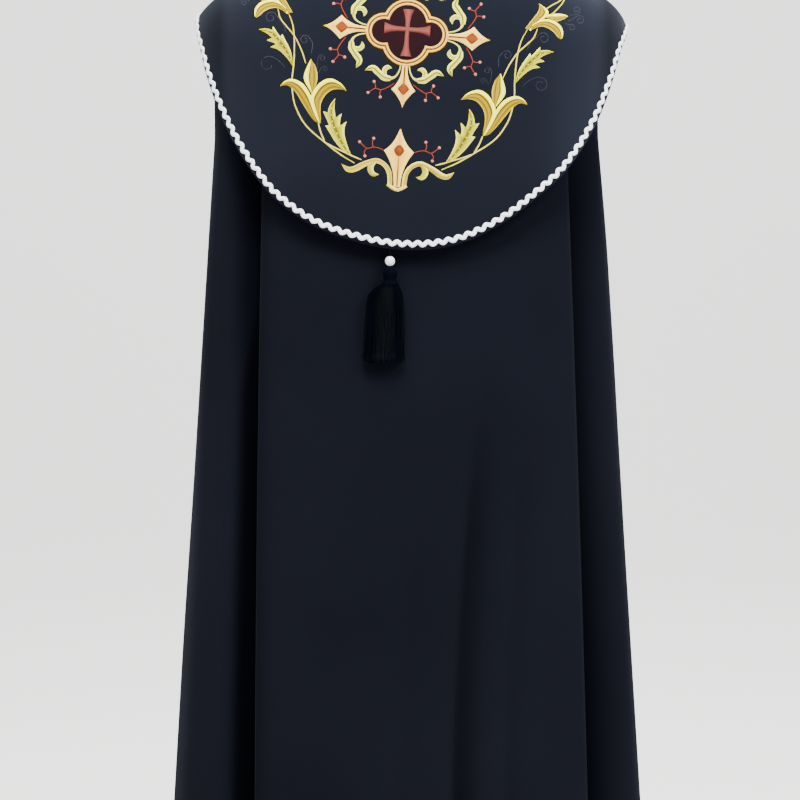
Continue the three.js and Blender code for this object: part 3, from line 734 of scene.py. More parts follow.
band_angle = np.radians(np.linspace(-153, 153, 160))[:, None]
up = np.linspace(1, 0, 9)[None, :]
band_radius = around("neck radius", band_angle) - LEAN_IN * up + 0.0006 * np.sin(np.pi * up)
band_z = around("neck height", band_angle) + TAB_OFF + BAND_HEIGHT * up
band = cloth_piece("neck_band_cloth", in_space(band_angle, band_radius, band_z), BOUND_CLOTH, cloak_cloth)
tab_across, tab_down = np.linspace(TAB_HALF, -TAB_HALF, 60), np.linspace(TAB_TOP, TAB_FOOT, 28)
tab_x, tab_z = np.meshgrid(tab_across, tab_down, indexing="ij")
normal = np.cross(tab_face(tab_x, tab_z - 0.001) - tab_face(tab_x, tab_z + 0.001),
                  tab_face(tab_x - 0.001, tab_z) - tab_face(tab_x + 0.001, tab_z))
normal /= np.linalg.norm(normal, axis=-1, keepdims=True)
edge = np.minimum(TAB_HALF - np.abs(tab_x), np.minimum(TAB_TOP - tab_z, tab_z - TAB_FOOT))
pressed = 0.0008 * (1 - ease(edge, 0, 0.004)) + 0.0005 * np.exp(-((edge - SEWN_IN) / 0.0008) ** 2)
tab_points = tab_face(tab_x, tab_z) + normal * (BOUND_CLOTH + TAB_OFF - pressed)[..., None]
tab = cloth_piece("chest_tab_cloth", tab_points, BOUND_CLOTH, cloak_cloth)
for piece, node, flat, held, under, area in (
        (band, "neck_band", (0.425, 0.020), "stretched", ["back_panel", "left_front", "right_front"], 0.0079),
        (tab, "chest_tab", (0.158, 0.071), "laid", ["left_front", "right_front"], 0.0112)):
    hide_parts(node)
    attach(piece, "root")
    print_cut(piece)

# %% [markdown]
# ## Tassel
# A twisted cord comes down from the hood's tip, goes through a pale bead and ends in the tassel: a
# bound head of thread and a skirt of several hundred loose strands, which fan out and drift.

# %% Hanger and bead
TASSEL_ANGLE = -6.5  # degrees from the centre back to the hood's tip
tip_angle, tip_length = outside_braid(np.array(TASSEL_ANGLE), BRAID_INSET)
hang = hood_point(tip_angle, tip_length) - hood_normal(tip_angle, tip_length) * HOOD_CLOTH / 2
hang = hang - (0, 0, 0.0006)


def turned(radius, z, sides, centre):
    """A turned shape: radius[ring][side] round an upright line through centre, at z[ring] below it."""
    angle = 2 * np.pi * np.arange(sides) / sides
    ring = np.stack([radius * np.cos(angle), radius * np.sin(angle), z[:, None] + 0 * radius], -1)
    return ring + centre


turn = 2 * np.pi * np.arange(16) / 16
cord_z = np.linspace(0, -0.0179, 90)
cord_radius = 0.00106 + 0.00014 * np.cos(2 * (turn[None, :] - 2 * np.pi * cord_z[:, None] / 0.0046))
black_thread = new_material("black_thread", (0.0010, 0.0015, 0.0028), 0.8, 0.008, 0.3, 0.0)
hanger = tube_piece("twisted_hanger", turned(cord_radius, cord_z, 16, hang)[::-1], black_thread)

bore, bead_radius = 0.0015, 0.0052
start = np.arccos(bore / bead_radius)
arc = np.linspace(start, -start, 33)
bead_r = np.concatenate([bead_radius * np.cos(arc), [bore * 0.98, bore * 0.98, bore]])
bead_z = np.concatenate([bead_radius * np.sin(arc), [-0.0035, 0.0035, bead_radius * np.sin(start)]])
pale = new_material("pale_bead", (0.62, 0.63, 0.66), 0.18, 0.0, 0.4, 0.55)
bead_points = turned(np.repeat(bead_r[:, None], 48, 1), bead_z, 48, hang - (0, 0, 0.0127))
bead = mesh_piece("threaded_bead", bead_points, tube_faces(len(bead_r), 48)[:, ::-1], pale)
for piece, node, slot in ((hanger, "tassel_hanger", "black_thread"), (bead, "tassel_bead", "pale_bead")):
    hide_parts(node)
    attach(piece, "root")
print("hanger starts at", np.round(hang, 4).tolist())

# %% [markdown]
# ## Head and skirt
# The head is turned: a table gives its outline from the cord down, and slanting ridges stand for
# the threads that cover it, with a few windings at its waist. Each strand starts under the head,
# spreads out and sways a little by its own random amounts.

# %% Tassel head and skirt
top = hang - (0, 0, 0.0182)
HEAD = np.array([(0.0004, 0), (0.0032, -0.0002), (0.0062, -0.0025), (0.0074, -0.0050), (0.0076, -0.0072),
                 (0.0066, -0.0118), (0.0060, -0.0126), (0.0060, -0.0142), (0.0066, -0.0150),
                 (0.0078, -0.0166), (0.0080, -0.0190), (0.0006, -0.0192)])
head_run = running(HEAD)
head_at = np.linspace(0, head_run[-1], 110)
head_r, head_z = (curve_through(np.stack([head_run, HEAD[:, k]], 1), head_at) for k in (0, 1))
sides = 96
ridge = np.abs(np.sin(12 * (2 * np.pi * np.arange(sides) / sides)[None, :] + 260 * head_z[:, None]))
windings = ease(-head_z, 0.0112, 0.0118) * (1 - ease(-head_z, 0.0148, 0.0154))
bound = 0.0005 * np.abs(np.sin(np.pi * head_z / 0.0011)) * windings
radius = head_r[:, None] * (1 + 0.07 * (ridge - 0.6) * (1 - windings[:, None])) + bound[:, None]
head = tube_piece("tassel_head", turned(radius, head_z, sides, top)[::-1], black_thread)

STRANDS, STEPS_DOWN = 640, 14
number = np.arange(STRANDS)[:, None]
down = np.linspace(0, 1, STEPS_DOWN)[None, :]
share = np.sqrt((number + 0.5) / STRANDS)
turn = number * np.pi * (3 - np.sqrt(5))
spread = 1 - (1 - np.clip(down / 0.22, 0, 1)) ** 2
wander = chance.normal(0, 1, (4, STRANDS, 1))
sway_x = 0.0012 * down * (wander[0] * np.sin(5 * down + wander[1]) + 0.9 * wander[2])
sway_y = 0.0009 * down * (wander[3] * np.sin(4 * down + wander[0]) + 0.7 * wander[1])
half_width = 0.0072 + (0.0186 - 0.0072) * spread + 0.003 * down
strand_x = share * half_width * np.cos(turn) - 0.0052 * spread - 0.0016 * down + sway_x
half_depth = 0.0066 + (0.0092 - 0.0066) * spread
strand_y = share * half_depth * np.sin(turn) - 0.001 * ease(down, 0, 0.9) + sway_y
uneven = 1 - 0.055 * np.abs(chance.normal(0, 0.5, (STRANDS, 1))).clip(0, 1)
strand_z = -0.0165 - 0.0845 * down * uneven
size = 0.00036 + 0.00012 * down
corner_turn = turn[..., None] + 2 * np.pi * np.arange(3) / 3
strand_points = np.stack([strand_x[..., None] + size[..., None] * np.cos(corner_turn),
                          strand_y[..., None] + size[..., None] * np.sin(corner_turn),
                          np.repeat(strand_z[..., None], 3, 2)], -1) + top
one = tube_faces(STEPS_DOWN, 3)[:, ::-1]
strand_faces = (one[None] + (number * STEPS_DOWN * 3)[..., None]).reshape(-1, 4)
foot = number * STEPS_DOWN * 3 + (STEPS_DOWN - 1) * 3 + np.arange(3)
skirt = mesh_piece("tassel_skirt", strand_points, strand_faces.tolist() + foot.tolist(), black_thread)
for piece in (head, skirt):
    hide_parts("tassel")
    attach(piece, "root")
print("tassel:", STRANDS, "strands")

# %% [markdown]
# ## Laying the embroidery on the hood
# The design is drawn flat, in steps of the picture (1/800 of its width, about 1 mm on the hood),
# from the middle of the medallion: across and down. Every drawn place is one line of sight,
# and the table below finds where that line meets the hood. So the stitches lie on the cloth and
# are right from every side.

# %% From the picture to the hood
MEDALLION = (407.0, 30.0)  # where the picture shows the medallion's middle
DRAWN_STEP = 0.00105  # metres on the hood for each drawn step
LEAN_ACROSS, LEAN_DOWN = np.radians(4.4), np.radians(3.75)


def seen_at(points):
    """Where points are seen in the picture: sideways and up divided by the distance ahead."""
    c, s = np.cos(TIP_DOWN), np.sin(TIP_DOWN)
    away = points - np.array(EYE)
    ahead = away[..., 1] * c - away[..., 2] * s
    up = away[..., 1] * s + away[..., 2] * c
    return np.stack([PICTURE / 2 + FOCUS * away[..., 0] / ahead, PICTURE / 2 - FOCUS * up / ahead], -1)


STEP = 6.0
sight_x, sight_y = np.meshgrid(np.arange(200, 624, STEP), np.arange(-72, 252, STEP), indexing="ij")
goal = np.stack([sight_x, sight_y], -1)
# A rough first guess of angle and length, then rounds that correct it by how far it misses.
place = np.stack([np.degrees(np.arctan2(sight_x - 406, 128)), (sight_y + 92) * 0.00108], -1)
for _ in range(14):
    here = seen_at(hood_point(place[..., 0], place[..., 1]))
    by_angle = (seen_at(hood_point(place[..., 0] + 0.1, place[..., 1])) - here) / 0.1
    by_length = (seen_at(hood_point(place[..., 0], place[..., 1] + 0.0005)) - here) / 0.0005
    miss = goal - here
    det = by_angle[..., 0] * by_length[..., 1] - by_angle[..., 1] * by_length[..., 0]
    det = np.where(np.abs(det) < 1e-3, 1e-3, det)
    turn_by = (miss[..., 0] * by_length[..., 1] - miss[..., 1] * by_length[..., 0]) / det
    walk_by = (by_angle[..., 0] * miss[..., 1] - by_angle[..., 1] * miss[..., 0]) / det
    place[..., 0] = np.clip(place[..., 0] + np.clip(turn_by, -8, 8), -100, 100)
    place[..., 1] = np.clip(place[..., 1] + np.clip(walk_by, -0.03, 0.03), 0.004, 0.42)
sight_normal = hood_normal(place[..., 0], place[..., 1])
misses = np.abs(seen_at(hood_point(place[..., 0], place[..., 1])) - goal).max(-1)
print("median miss of the table, in picture steps:", round(float(np.median(misses)), 4))


def look_up(table, x, y):
    """Values of a table of lines of sight between its rows and columns."""
    i, j = (x - sight_x[0, 0]) / STEP, (y - sight_y[0, 0]) / STEP
    i, j = np.clip(i, 0, table.shape[0] - 1.001), np.clip(j, 0, table.shape[1] - 1.001)
    a, b = i.astype(int), j.astype(int)
    u, v = (i - a)[..., None], (j - b)[..., None]
    return ((1 - u) * (1 - v) * table[a, b] + u * (1 - v) * table[a + 1, b]
            + (1 - u) * v * table[a, b + 1] + u * v * table[a + 1, b + 1])


def on_hood(drawn, height):
    """Puts drawn places (across, down) on the hood, raised by height along its outward normal."""
    x = MEDALLION[0] + drawn[..., 0] * np.cos(LEAN_ACROSS) - drawn[..., 1] * np.sin(LEAN_DOWN)
    y = MEDALLION[1] + drawn[..., 0] * np.sin(LEAN_ACROSS) + drawn[..., 1] * np.cos(LEAN_DOWN)
    spot = look_up(place, x, y)
    return hood_point(spot[..., 0], spot[..., 1]) + look_up(sight_normal, x, y) * height[..., None]


# %% [markdown]
# ## Satin stitch
# Satin stitch is thread laid side by side from one edge of a shape to the other, over padding, so
# that a shape stands up from the cloth in a low dome. Here a shape is the surface between two
# edges, and its height follows half an ellipse from edge to edge. Its colours run from edge to
# edge, and its map runs along and across the threads.

# %% Shapes of thread
def smooth_line(handles, count):
    """A smooth line through handles at equal steps: cubic pieces over the distance along them."""
    handles = np.asarray(handles, float)
    run = running(handles)
    fine = np.linspace(0, run[-1], 40 * len(handles))
    line = np.stack([curve_through(np.stack([run, column], 1), fine) for column in handles.T], 1)
    walk = running(line)
    even = np.linspace(0, walk[-1], count)
    return np.stack([np.interp(even, walk, column) for column in line.T], 1)


class Stitching:
    """Gathers shapes of thread, and makes one mesh of them."""

    def __init__(self):
        self.points, self.faces, self.colours, self.map, self.count = [], [], [], [], 0

    def add(self, drawn, height, colours, flat_map):
        """Adds a grid of drawn places with heights, colours and a map in metres."""
        columns, rows = drawn.shape[:2]
        self.points.append(on_hood(drawn, height).reshape(-1, 3))
        self.faces.append(grid_faces(columns, rows, self.count))
        self.colours.append(np.broadcast_to(colours, drawn.shape[:2] + (3,)).reshape(-1, 3))
        self.map.append(flat_map.reshape(-1, 2))
        self.count += columns * rows

    def between(self, edge_a, edge_b, colours, puff=0.0012, base=-0.0002, rows=9, slant=0.4):
        """The surface between two edges; colours run from the first edge to the second."""
        across = np.linspace(-1, 1, rows)
        mix = (0.5 + 0.5 * across)[None, :, None]
        drawn = edge_a[:, None] * (1 - mix) + edge_b[:, None] * mix
        width = np.linalg.norm(edge_b - edge_a, axis=1)[:, None]
        height = base + puff * width / (width + 2.5) * np.sqrt(np.clip(1 - across ** 2, 0, 1))[None, :]
        colours = np.reshape(colours, (-1, 3))
        at = np.linspace(0, 1, len(colours))
        tone = np.stack([np.interp(mix[0, :, 0], at, colours[:, k]) for k in range(3)], -1)
        middle = (edge_a + edge_b) / 2
        walk = running(middle)
        side = across[None, :] * width / 2
        flat_map = np.stack([walk[:, None] + slant * side, side], -1) * DRAWN_STEP
        self.add(drawn, height, tone[None], flat_map)

    def line(self, handles, half, colours, count=None, taper=(1.0, 1.0), **more):
        """A ribbon along a smooth line; half is its half-width, tapering towards its two ends."""
        length = np.linalg.norm(np.diff(np.asarray(handles, float), axis=0), axis=1).sum()
        count = count or int(max(8, min(90, length / 1.1)))
        middle = smooth_line(handles, count)
        ahead = np.gradient(middle, axis=0)
        ahead /= np.linalg.norm(ahead, axis=1, keepdims=True) + 1e-9
        aside = np.stack([-ahead[:, 1], ahead[:, 0]], 1)
        t = np.linspace(0, 1, count)
        if np.ndim(half):
            half = np.interp(t, np.linspace(0, 1, len(half)), half)
        first, last = (end + (1 - end) * ease(way, 0, 0.12) for end, way in zip(taper, (t, 1 - t)))
        reach = aside * (half * first * last)[:, None]
        self.between(middle - reach, middle + reach, colours, **more)

    def knot(self, centre, radius, colour, puff=0.0007, base=-0.0001):
        """A round knot: rings of points that rise as half an ellipse towards the middle."""
        turn = np.linspace(0, 2 * np.pi, 11)[:, None]
        ring = np.linspace(0.02, 1, 5)[None, :]
        drawn = np.asarray(centre) + radius * np.stack([ring * np.cos(turn), ring * np.sin(turn)], -1)
        height = base + puff * np.sqrt(np.clip(1 - ring ** 2, 0, 1)) + 0 * turn
        self.add(drawn, height, colour, (drawn - np.asarray(centre)) * DRAWN_STEP)

    def piece(self, name, material):
        """One mesh of all the shapes, with outward faces, its map and its thread colours."""
        points, faces = np.concatenate(self.points), np.concatenate(self.faces)
        corners = points[faces]
        face_normal = np.cross(corners[:, 2] - corners[:, 0], corners[:, 3] - corners[:, 1])
        outwards = corners.mean(1) * (1, 1, 0)
        inside_out = (face_normal * outwards).sum(1) < 0
        faces[inside_out] = faces[inside_out][:, ::-1]
        made = mesh_piece(name, points, faces, material)
        lay_map(made, "thread", np.concatenate(self.map))
        tone = made.data.color_attributes.new("thread_tone", "FLOAT_COLOR", "POINT")
        rgba = np.concatenate([np.concatenate(self.colours), np.ones((len(points), 1))], 1)
        tone.data.foreach_set("color", rgba.ravel().astype(np.float32))
        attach(made, "root")
        print(name, len(faces), "faces")


def mirrored(handles, side):
    """Handles drawn for the right half, with across turned over for the left."""
    return np.asarray(handles, float) * (side, 1)


# %% [markdown]
# ## Thread
# Rayon and metallic thread shine along their length, so each stitch shows as a fine line of light
# and dark. The colour comes from the piece's own attribute. Fine bands on its map give the threads
# their relief, and they also lighten and darken the colour as painted sheen; noise adds random tone.

# %% Thread finish
THREAD, THREAD_DEPTH = 0.00035, 0.00016


def thread_material(name, roughness, specular):
    """Embroidery thread in the colours of the piece's attribute, with bands of painted sheen."""
    material = new_material(name, (0.5, 0.5, 0.5), roughness, 0.0, 0.35, specular)
    tree = material.node_tree
    tone = tree.nodes.new("ShaderNodeVertexColor")
    tone.layer_name = "thread_tone"
    lay = wave_bands(tree, map_of(tree, "thread"), THREAD, 0)
    # Painted sheen: the bands lighten and darken the thread colour along each stitch; the noise is random
    # tone.
    uneven = weighted(tree, (lay, 0.28), (noise(tree, 700), 0.5))
    painted_sheen_and_tone = colour_ramp(tree, uneven, 0.12, (0.62, 0.62, 0.62), 0.50, (1, 1, 1))
    thread_tone = multiplied(tree, tone.outputs["Color"], painted_sheen_and_tone)
    tree.links.new(thread_tone, tree.nodes["Principled BSDF"].inputs["Base Color"])
    add_relief(tree, lay, 0.6, THREAD_DEPTH)
    return material


thread = thread_material("satin_thread", 0.5, 0.07)
dark_thread = thread_material("ground_thread", 0.85, 0.02)

CREAM, GOLD, OCHRE, RIM = (1.0, 0.93, 0.03), (0.31, 0.215, 0.0), (0.10, 0.056, 0.0), (0.66, 0.42, 0.0)
LEAF, LEAF_PALE = (0.34, 0.33, 0.0), (0.85, 0.86, 0.12)
STEM, STEM_PALE, STEM_DARK = (0.46, 0.41, 0.05), (0.66, 0.60, 0.13), (0.23, 0.18, 0.02)
ARM, ARM_PALE, ARM_WHITE = (0.80, 0.34, 0.03), (0.86, 0.52, 0.07), (0.90, 0.64, 0.12)
RING, RING_PALE, RING_LINE = (0.40, 0.16, 0.010), (0.80, 0.47, 0.08), (0.070, 0.022, 0.002)
ROSE, ROSE_PALE, GROUND = (0.10, 0.014, 0.001), (0.20, 0.042, 0.004), (0.012, 0.0042, 0.0056)
CORAL, CORAL_PALE, CORAL_TIP = (0.095, 0.017, 0.013), (0.19, 0.046, 0.036), (0.40, 0.14, 0.12)
SCROLL, SHADE, WARM_SHADE = (0.036, 0.034, 0.048), (0.0135, 0.0090, 0.0002), (0.024, 0.0034, 0.0030)

# Colours from one edge of a shape to the other
LILY_BODY = (CREAM,) * 4 + (OCHRE, OCHRE, GOLD, GOLD, GOLD, OCHRE, GOLD, GOLD, GOLD)
LEAF_EDGED, CORAL_CORD = (LEAF_PALE, LEAF, LEAF_PALE), (CORAL, CORAL_PALE, CORAL)
ARM_FACE, RING_CORD = (ARM_WHITE, ARM_PALE, ARM, ARM_PALE, ARM_WHITE), (RING, RING_PALE, RING)

# The dull edge of dark stitches that lies round the bright shapes, almost flat on the cloth
HALO = dict(puff=0.0002, base=-0.00005, rows=3)

lilies, leaves, stems, sprigs, scrolls = (Stitching() for _ in range(5))
medallion, shade, dark_ground = Stitching(), Stitching(), Stitching()

# %% [markdown]
# ## Lilies
# Each lily is a pointed bud between two petals that curl out and droop. A petal is laid between
# its two edges, pale at its upper rim and golden below. One drawing is turned and mirrored to its
# place on each side. The upper pair is drawn bending over, as on the hood.

# %% Lilies
# A shape is its two edges. A lily lists each shape with the share of its rim, its dome and its base.
BUD = ([(-4, 30), (-9.0, 41), (-10.2, 47.5), (-6.2, 56.5), (-0.6, 65)],
       [(-4, 30), (1.2, 38.5), (3.6, 46), (3.2, 55), (-0.6, 65)])
LEFT_PETAL = ([(0.4, 0), (-3, 13), (-5.2, 27), (-8.4, 35.5), (-13.5, 42.5), (-22, 46.8), (-29.4, 45.5),
               (-34.6, 41)],
              [(-1, 0), (-4.4, 2.6), (-8, 8), (-12, 16), (-16.2, 25), (-21, 34.8), (-27.4, 41.0),
               (-34.6, 41)])
RIGHT_PETAL = ([(0.2, 0), (-3, 13), (-5.2, 27), (0.6, 36), (8, 41.5), (16.5, 43), (25.5, 37.6), (31, 29)],
               [(1.2, 0), (1.9, 6), (2.2, 12), (4, 20), (9, 27), (16, 31.4), (24, 31.6), (31, 29)])
LOW_LILY = [(BUD, 0.46, 0.0010, -0.0002),
            (LEFT_PETAL, 0.30, 0.0013, 0.0001),
            (RIGHT_PETAL, 0.34, 0.0013, 0.0002)]
UP_BUD = ([(137.9, -23.1), (140.7, -26.1), (147.6, -27.4), (155.4, -27.4), (159.8, -25.7)],
          [(137.9, -23.1), (143.1, -20.6), (148.1, -20.0), (155.5, -22.8), (159.8, -25.7)])
UP_PETAL = ([(123.3, -8.5), (128.1, -14.1), (133.8, -19.7), (137.9, -23.6), (140.0, -27.2), (138.6, -30.5),
             (134.8, -33.4), (129.9, -36.4)],
            [(117.9, -10.5), (121.8, -16.4), (125.5, -21.8), (129.4, -27.6), (130.6, -32.6), (129.9, -36.4)])
DOWN_PETAL = ([(124.9, -14.6), (128.2, -17.5), (133.8, -20.3), (140.4, -21.2), (146.5, -19.7), (151.7, -16.7),
               (154.8, -12.6), (155.8, -8.3), (155.4, -4.5), (153.9, -2.3)],
              [(123.0, -8.5), (128.2, -11.9), (134.2, -13.7), (140.8, -12.4), (146.9, -8.6),
               (151.0, -4.2), (153.9, -2.3)])
UP_LILY = [(UP_BUD, 0.45, 0.0009, -0.0001),
           (UP_PETAL, 0.34, 0.0011, 0.0001),
           (DOWN_PETAL, 0.40, 0.0012, 0.0002)]


def moved(handles, base, tilt, side):
    """Turns a drawing outwards by tilt degrees and stands it on its base (side 1 is right)."""
    x, y = np.asarray(handles, float).T
    a = np.radians(tilt)
    across, down = y * np.sin(a) - x * np.cos(a), -x * np.sin(a) - y * np.cos(a)
    return np.stack([side * (base[0] + across), base[1] + down], 1)


def strip(edge_a, edge_b, start, end):
    """The part of a shape between two shares of the way from its first edge to its second."""
    return edge_a + (edge_b - edge_a) * start, edge_a + (edge_b - edge_a) * end


def lily(parts, put):
    """A bud and two petals: a golden body, a cream rim, a dark line between them and a bright lower rim."""
    for (top, low), rim, puff, base in parts:
        a, b = smooth_line(put(top), 48), smooth_line(put(low), 48)
        lilies.between(a, b, LILY_BODY, puff, base, rows=13)
        upper, lower = strip(a, b, 0.0, rim), strip(a, b, 0.84, 1.0)
        lilies.between(*upper, (CREAM, CREAM, (0.60, 0.50, 0.01)), puff * 0.7, base + 0.0004, rows=7)
        lilies.between(*lower, (GOLD, RIM, (0.85, 0.62, 0.02)), puff * 0.6, base + 0.0001, rows=5)
        grow = (a - b) / (np.linalg.norm(a - b, axis=1, keepdims=True) + 1e-6) * 2.2
        shade.between(a + grow, b - grow, SHADE, **HALO)


for side in (-1, 1):
    lily(LOW_LILY, lambda handles: moved(handles, (82.4 + 1.2 * side, 99.6), 10.6, side))
    lily(UP_LILY, lambda handles: mirrored(np.add(handles, (1.3 * side - 1.3, 0.9 - 0.9 * side)), side))

# %% [markdown]
# ## Leaves
# Each leaf has two halves with pointed teeth, which meet in a groove. It is sewn in yellow-green
# that is pale at the teeth, with a row of small knots for its vein.

# %% Leaves
LEAF_MIDDLE = [(0, 0), (0.065, 0.16), (0.105, 0.29), (0.133, 0.45), (0.150, 0.60), (0.145, 0.75),
               (0.105, 0.88), (0, 1)]
LEAF_EDGES = [  # aside, along and place on the middle line; each run of places ends at a point or a notch
    [[(0, 0, 0), (0.125, 0.16, 0.12), (0.190, 0.29, 0.24), (0.240, 0.45, 0.38), (0.285, 0.63, 0.50)],
     [(0.285, 0.63, 0.50), (0.225, 0.615, 0.55)],
     [(0.225, 0.615, 0.55), (0.228, 0.68, 0.60), (0.242, 0.77, 0.68), (0.256, 0.87, 0.74)],
     [(0.256, 0.87, 0.74), (0.185, 0.825, 0.78)],
     [(0.185, 0.825, 0.78), (0.150, 0.895, 0.86), (0.085, 0.965, 0.94), (0, 1.02, 1)]],
    [[(0, 0, 0), (0.018, 0.13, 0.12), (0.026, 0.26, 0.24), (0.020, 0.39, 0.36), (-0.012, 0.50, 0.44),
      (-0.075, 0.60, 0.50)],
     [(-0.075, 0.60, 0.50), (-0.015, 0.575, 0.52), (0.055, 0.535, 0.55)],
     [(0.055, 0.535, 0.55), (0.030, 0.63, 0.60), (-0.035, 0.75, 0.66)],
     [(-0.035, 0.75, 0.66), (0.040, 0.705, 0.68), (0.095, 0.655, 0.70)],
     [(0.095, 0.655, 0.70), (0.078, 0.75, 0.78), (0.062, 0.845, 0.86), (0.032, 0.94, 0.94), (0, 1.02, 1)]]]


def leaf(foot, tip, side, bend):
    """Two toothed halves that meet in a groove, with knots along it; bend bows the leaf aside."""
    foot, tip = mirrored([foot, tip], side)
    along = tip - foot
    aside = np.array([-along[1], along[0]]) * side * bend
    at = lambda x, y: foot + np.multiply.outer(y, along) + np.multiply.outer(x, aside)
    middle = smooth_line(LEAF_MIDDLE, 60)
    for runs in LEAF_EDGES:
        edge = np.concatenate([smooth_line(run, max(4, 7 * len(run))) for run in runs])
        centre = np.stack([np.interp(edge[:, 2], np.linspace(0, 1, 60), middle[:, k]) for k in (0, 1)], 1)
        inner, outer = at(*centre.T), at(edge[:, 0], edge[:, 1])
        leaves.between(inner, outer, (OCHRE, LEAF, (0.46, 0.43, 0.01), LEAF_PALE), 0.0014, 0.0, rows=9)
        spread = outer - inner
        grow = spread / (np.linalg.norm(spread, axis=1, keepdims=True) + 1e-6) * 2.0
        shade.between(inner, outer + grow, SHADE, **HALO)
    for spot in middle[8:54:6]:
        leaves.knot(at(*spot), 0.62, LEAF_PALE, puff=0.0005, base=0.0004)


for side in (-1, 1):
    leaf((111.5, 45), (147, 11.4), side, -1)
    leaf((46.4, 131), (66.8, 75.0), side, 1)

# %% [markdown]
# ## Stems
# Each side has one long stem from the foot to the upper lily, and shorter ones that branch off it.
# Each next stem lies a little higher, so that they cross over one another.

# %% Stems
STEMS = [
    [(43.6, 136.8), (58, 129.4), (72.3, 120), (95, 102.5), (106.2, 85), (110.3, 70.5), (111.5, 57),
     (110.8, 43), (111.5, 21), (114.4, 3.3), (120.2, -9.8)],
    [(82.5, 100), (79.5, 108.5), (75, 117.5)],
    [(74, 118.6), (64, 123.2), (55, 126.5), (46, 130), (37, 133)],
    [(98.7, 41), (104.2, 27.5), (112, 14.5), (120.5, 5.5), (127, -2), (130, -11)],
    [(135.5, -30), (143, -35.4), (150, -40), (155, -45)],
    [(142, -25), (148.3, -31.8), (153, -38), (156, -45)],
]
for side in (-1, 1):
    for number, handles in enumerate(STEMS):
        stems.line(mirrored(handles, side), 0.82 - 0.03 * number, (STEM, STEM_PALE, STEM_DARK),
                   puff=0.0014, base=-0.0001 + 0.00012 * number, rows=7, taper=(0.6, 0.5))
        shade.line(mirrored(handles, side), 2.0, SHADE, **HALO)

# %% [markdown]
# ## Medallion
# Four round lobes make the medallion. Its outline is the furthest edge of four circles in each
# direction from the middle, and smaller circles give lines inside it: two gold cords with a brown
# line between, round a dark ground with a plain cross.

# %% Medallion
MIDDLE = np.array([0.3, 2.7])


def four_lobes(turn, inset):
    """Outline of the four circles' union: the furthest crossing of each ray, less an inset."""
    ray = np.stack([np.cos(turn), np.sin(turn)], -1)
    reach = []
    for centre, radius in (((23.4, 0), 18.1), ((-23.4, 0), 18.1), ((0, 8.8), 24.8), ((0, -8.8), 24.8)):
        ahead = ray @ np.array(centre)
        aside = np.abs(ray[..., 0] * centre[1] - ray[..., 1] * centre[0])
        half = (radius - inset) ** 2 - aside ** 2
        reach.append(np.where(half > 0, ahead + np.sqrt(np.maximum(half, 0)), 0))
    return ray * np.max(reach, 0)[..., None] + MIDDLE


turn = np.linspace(0, 2 * np.pi, 241)
for outer, inner, tones, puff, base in ((-1.6, 0.4, SHADE, 0.0002, -0.00005),
                                        (0.0, 2.8, RING_CORD, 0.0015, -0.0001),
                                        (2.4, 3.9, RING_LINE, 0.0006, 0.0003),
                                        (3.5, 6.2, RING_CORD, 0.0015, -0.0001)):
    target = shade if outer < 0 else medallion
    target.between(four_lobes(turn, outer), four_lobes(turn, inner), tones, puff, base, rows=9)
rings = np.linspace(0.02, 1, 14)[None, :, None]
ground = MIDDLE + (four_lobes(turn, 5.8) - MIDDLE)[:, None] * rings
ground_height = 0.00045 * (1 - rings[..., 0] ** 4) + 0.0001 + 0 * ground[..., 0]
ground_map = np.stack([ground[..., 0] + 0.3 * ground[..., 1], ground[..., 1]], -1) * DRAWN_STEP
dark_ground.add(ground, ground_height, GROUND, ground_map)
CROSS_HALF = np.array([5.6, 3.4, 2.5, 2.3, 2.3, 2.5, 3.4, 5.6])
CROSS = [([(0.3, -20.5), (0.3, 2.7), (0.3, 26.5)], 0.0004),
         ([(-22.7, -0.5), (0.3, -0.5), (23.3, -0.5)], 0.00055)]
for handles, base in CROSS:
    medallion.line(handles, CROSS_HALF, CORAL_CORD, count=40, puff=0.0012, base=base, rows=9)

# %% [markdown]
# ## Arms, sprigs and small leaves
# From each side of the medallion an arm flares into a diamond. Beside it are two curled leaves
# and, from the diamond's shoulders, two coral sprigs with round ends.

# %% Arms
ARMS = [  # direction as degrees from across, ring, widest, tip
    (0.9, 41.0, 66.2, 85.2), (180.6, 41.0, 66.6, 85.8), (90, 33.2, 57.5, 77.0), (-90, 33.2, 57.5, 77.0)]
CURL_STEM = [(-1, 4.0), (7, 6.0), (12, 9.5), (14, 14.5)]
CURL_LEAF = [(14, 13.5), (13, 20), (8.5, 26.5), (4.5, 32), (7.5, 40)]
CURL_HOOK = [(10.5, 19.5), (5.6, 20.2), (2.6, 17), (3.5, 12.4)]
SPRIG = [[(-6, 9.5), (-1.8, 15.5), (1.5, 22.6), (0.3, 28), (5.2, 35.2)],
         [(1.5, 22.6), (5.3, 23.3), (8.8, 22.7)],
         [(0.3, 28), (-3, 28.2), (-6.2, 29.8)]]


def two_curves(outer, widest, tip, start_half, half):
    """Half-widths and places along an arm: a hollow flare out to the widest point, then in to the tip."""
    s = np.concatenate([np.linspace(outer, widest, 22), np.linspace(widest, tip, 22)[1:]])
    rise = np.clip((s - outer) / (widest - outer), 0, 1)
    fall = np.clip((tip - s) / (tip - widest), 0, 1)
    return s, np.where(s <= widest, start_half + (half - start_half) * rise ** 2.5, half * fall ** 1.75)


def lozenge(reach, power, count):
    """Places along a small lozenge with bowed sides, and its half-widths there."""
    along = np.linspace(-reach, reach, count)
    return along, (reach ** power - np.abs(along) ** power).clip(0) ** (1 / power)


def twig(handles):
    """One line of coral stitches and the shade round it."""
    sprigs.line(handles, 0.62, CORAL_CORD, puff=0.0012, rows=5, taper=(0.8, 0.9))
    shade.line(handles, 2.0, WARM_SHADE, **HALO)


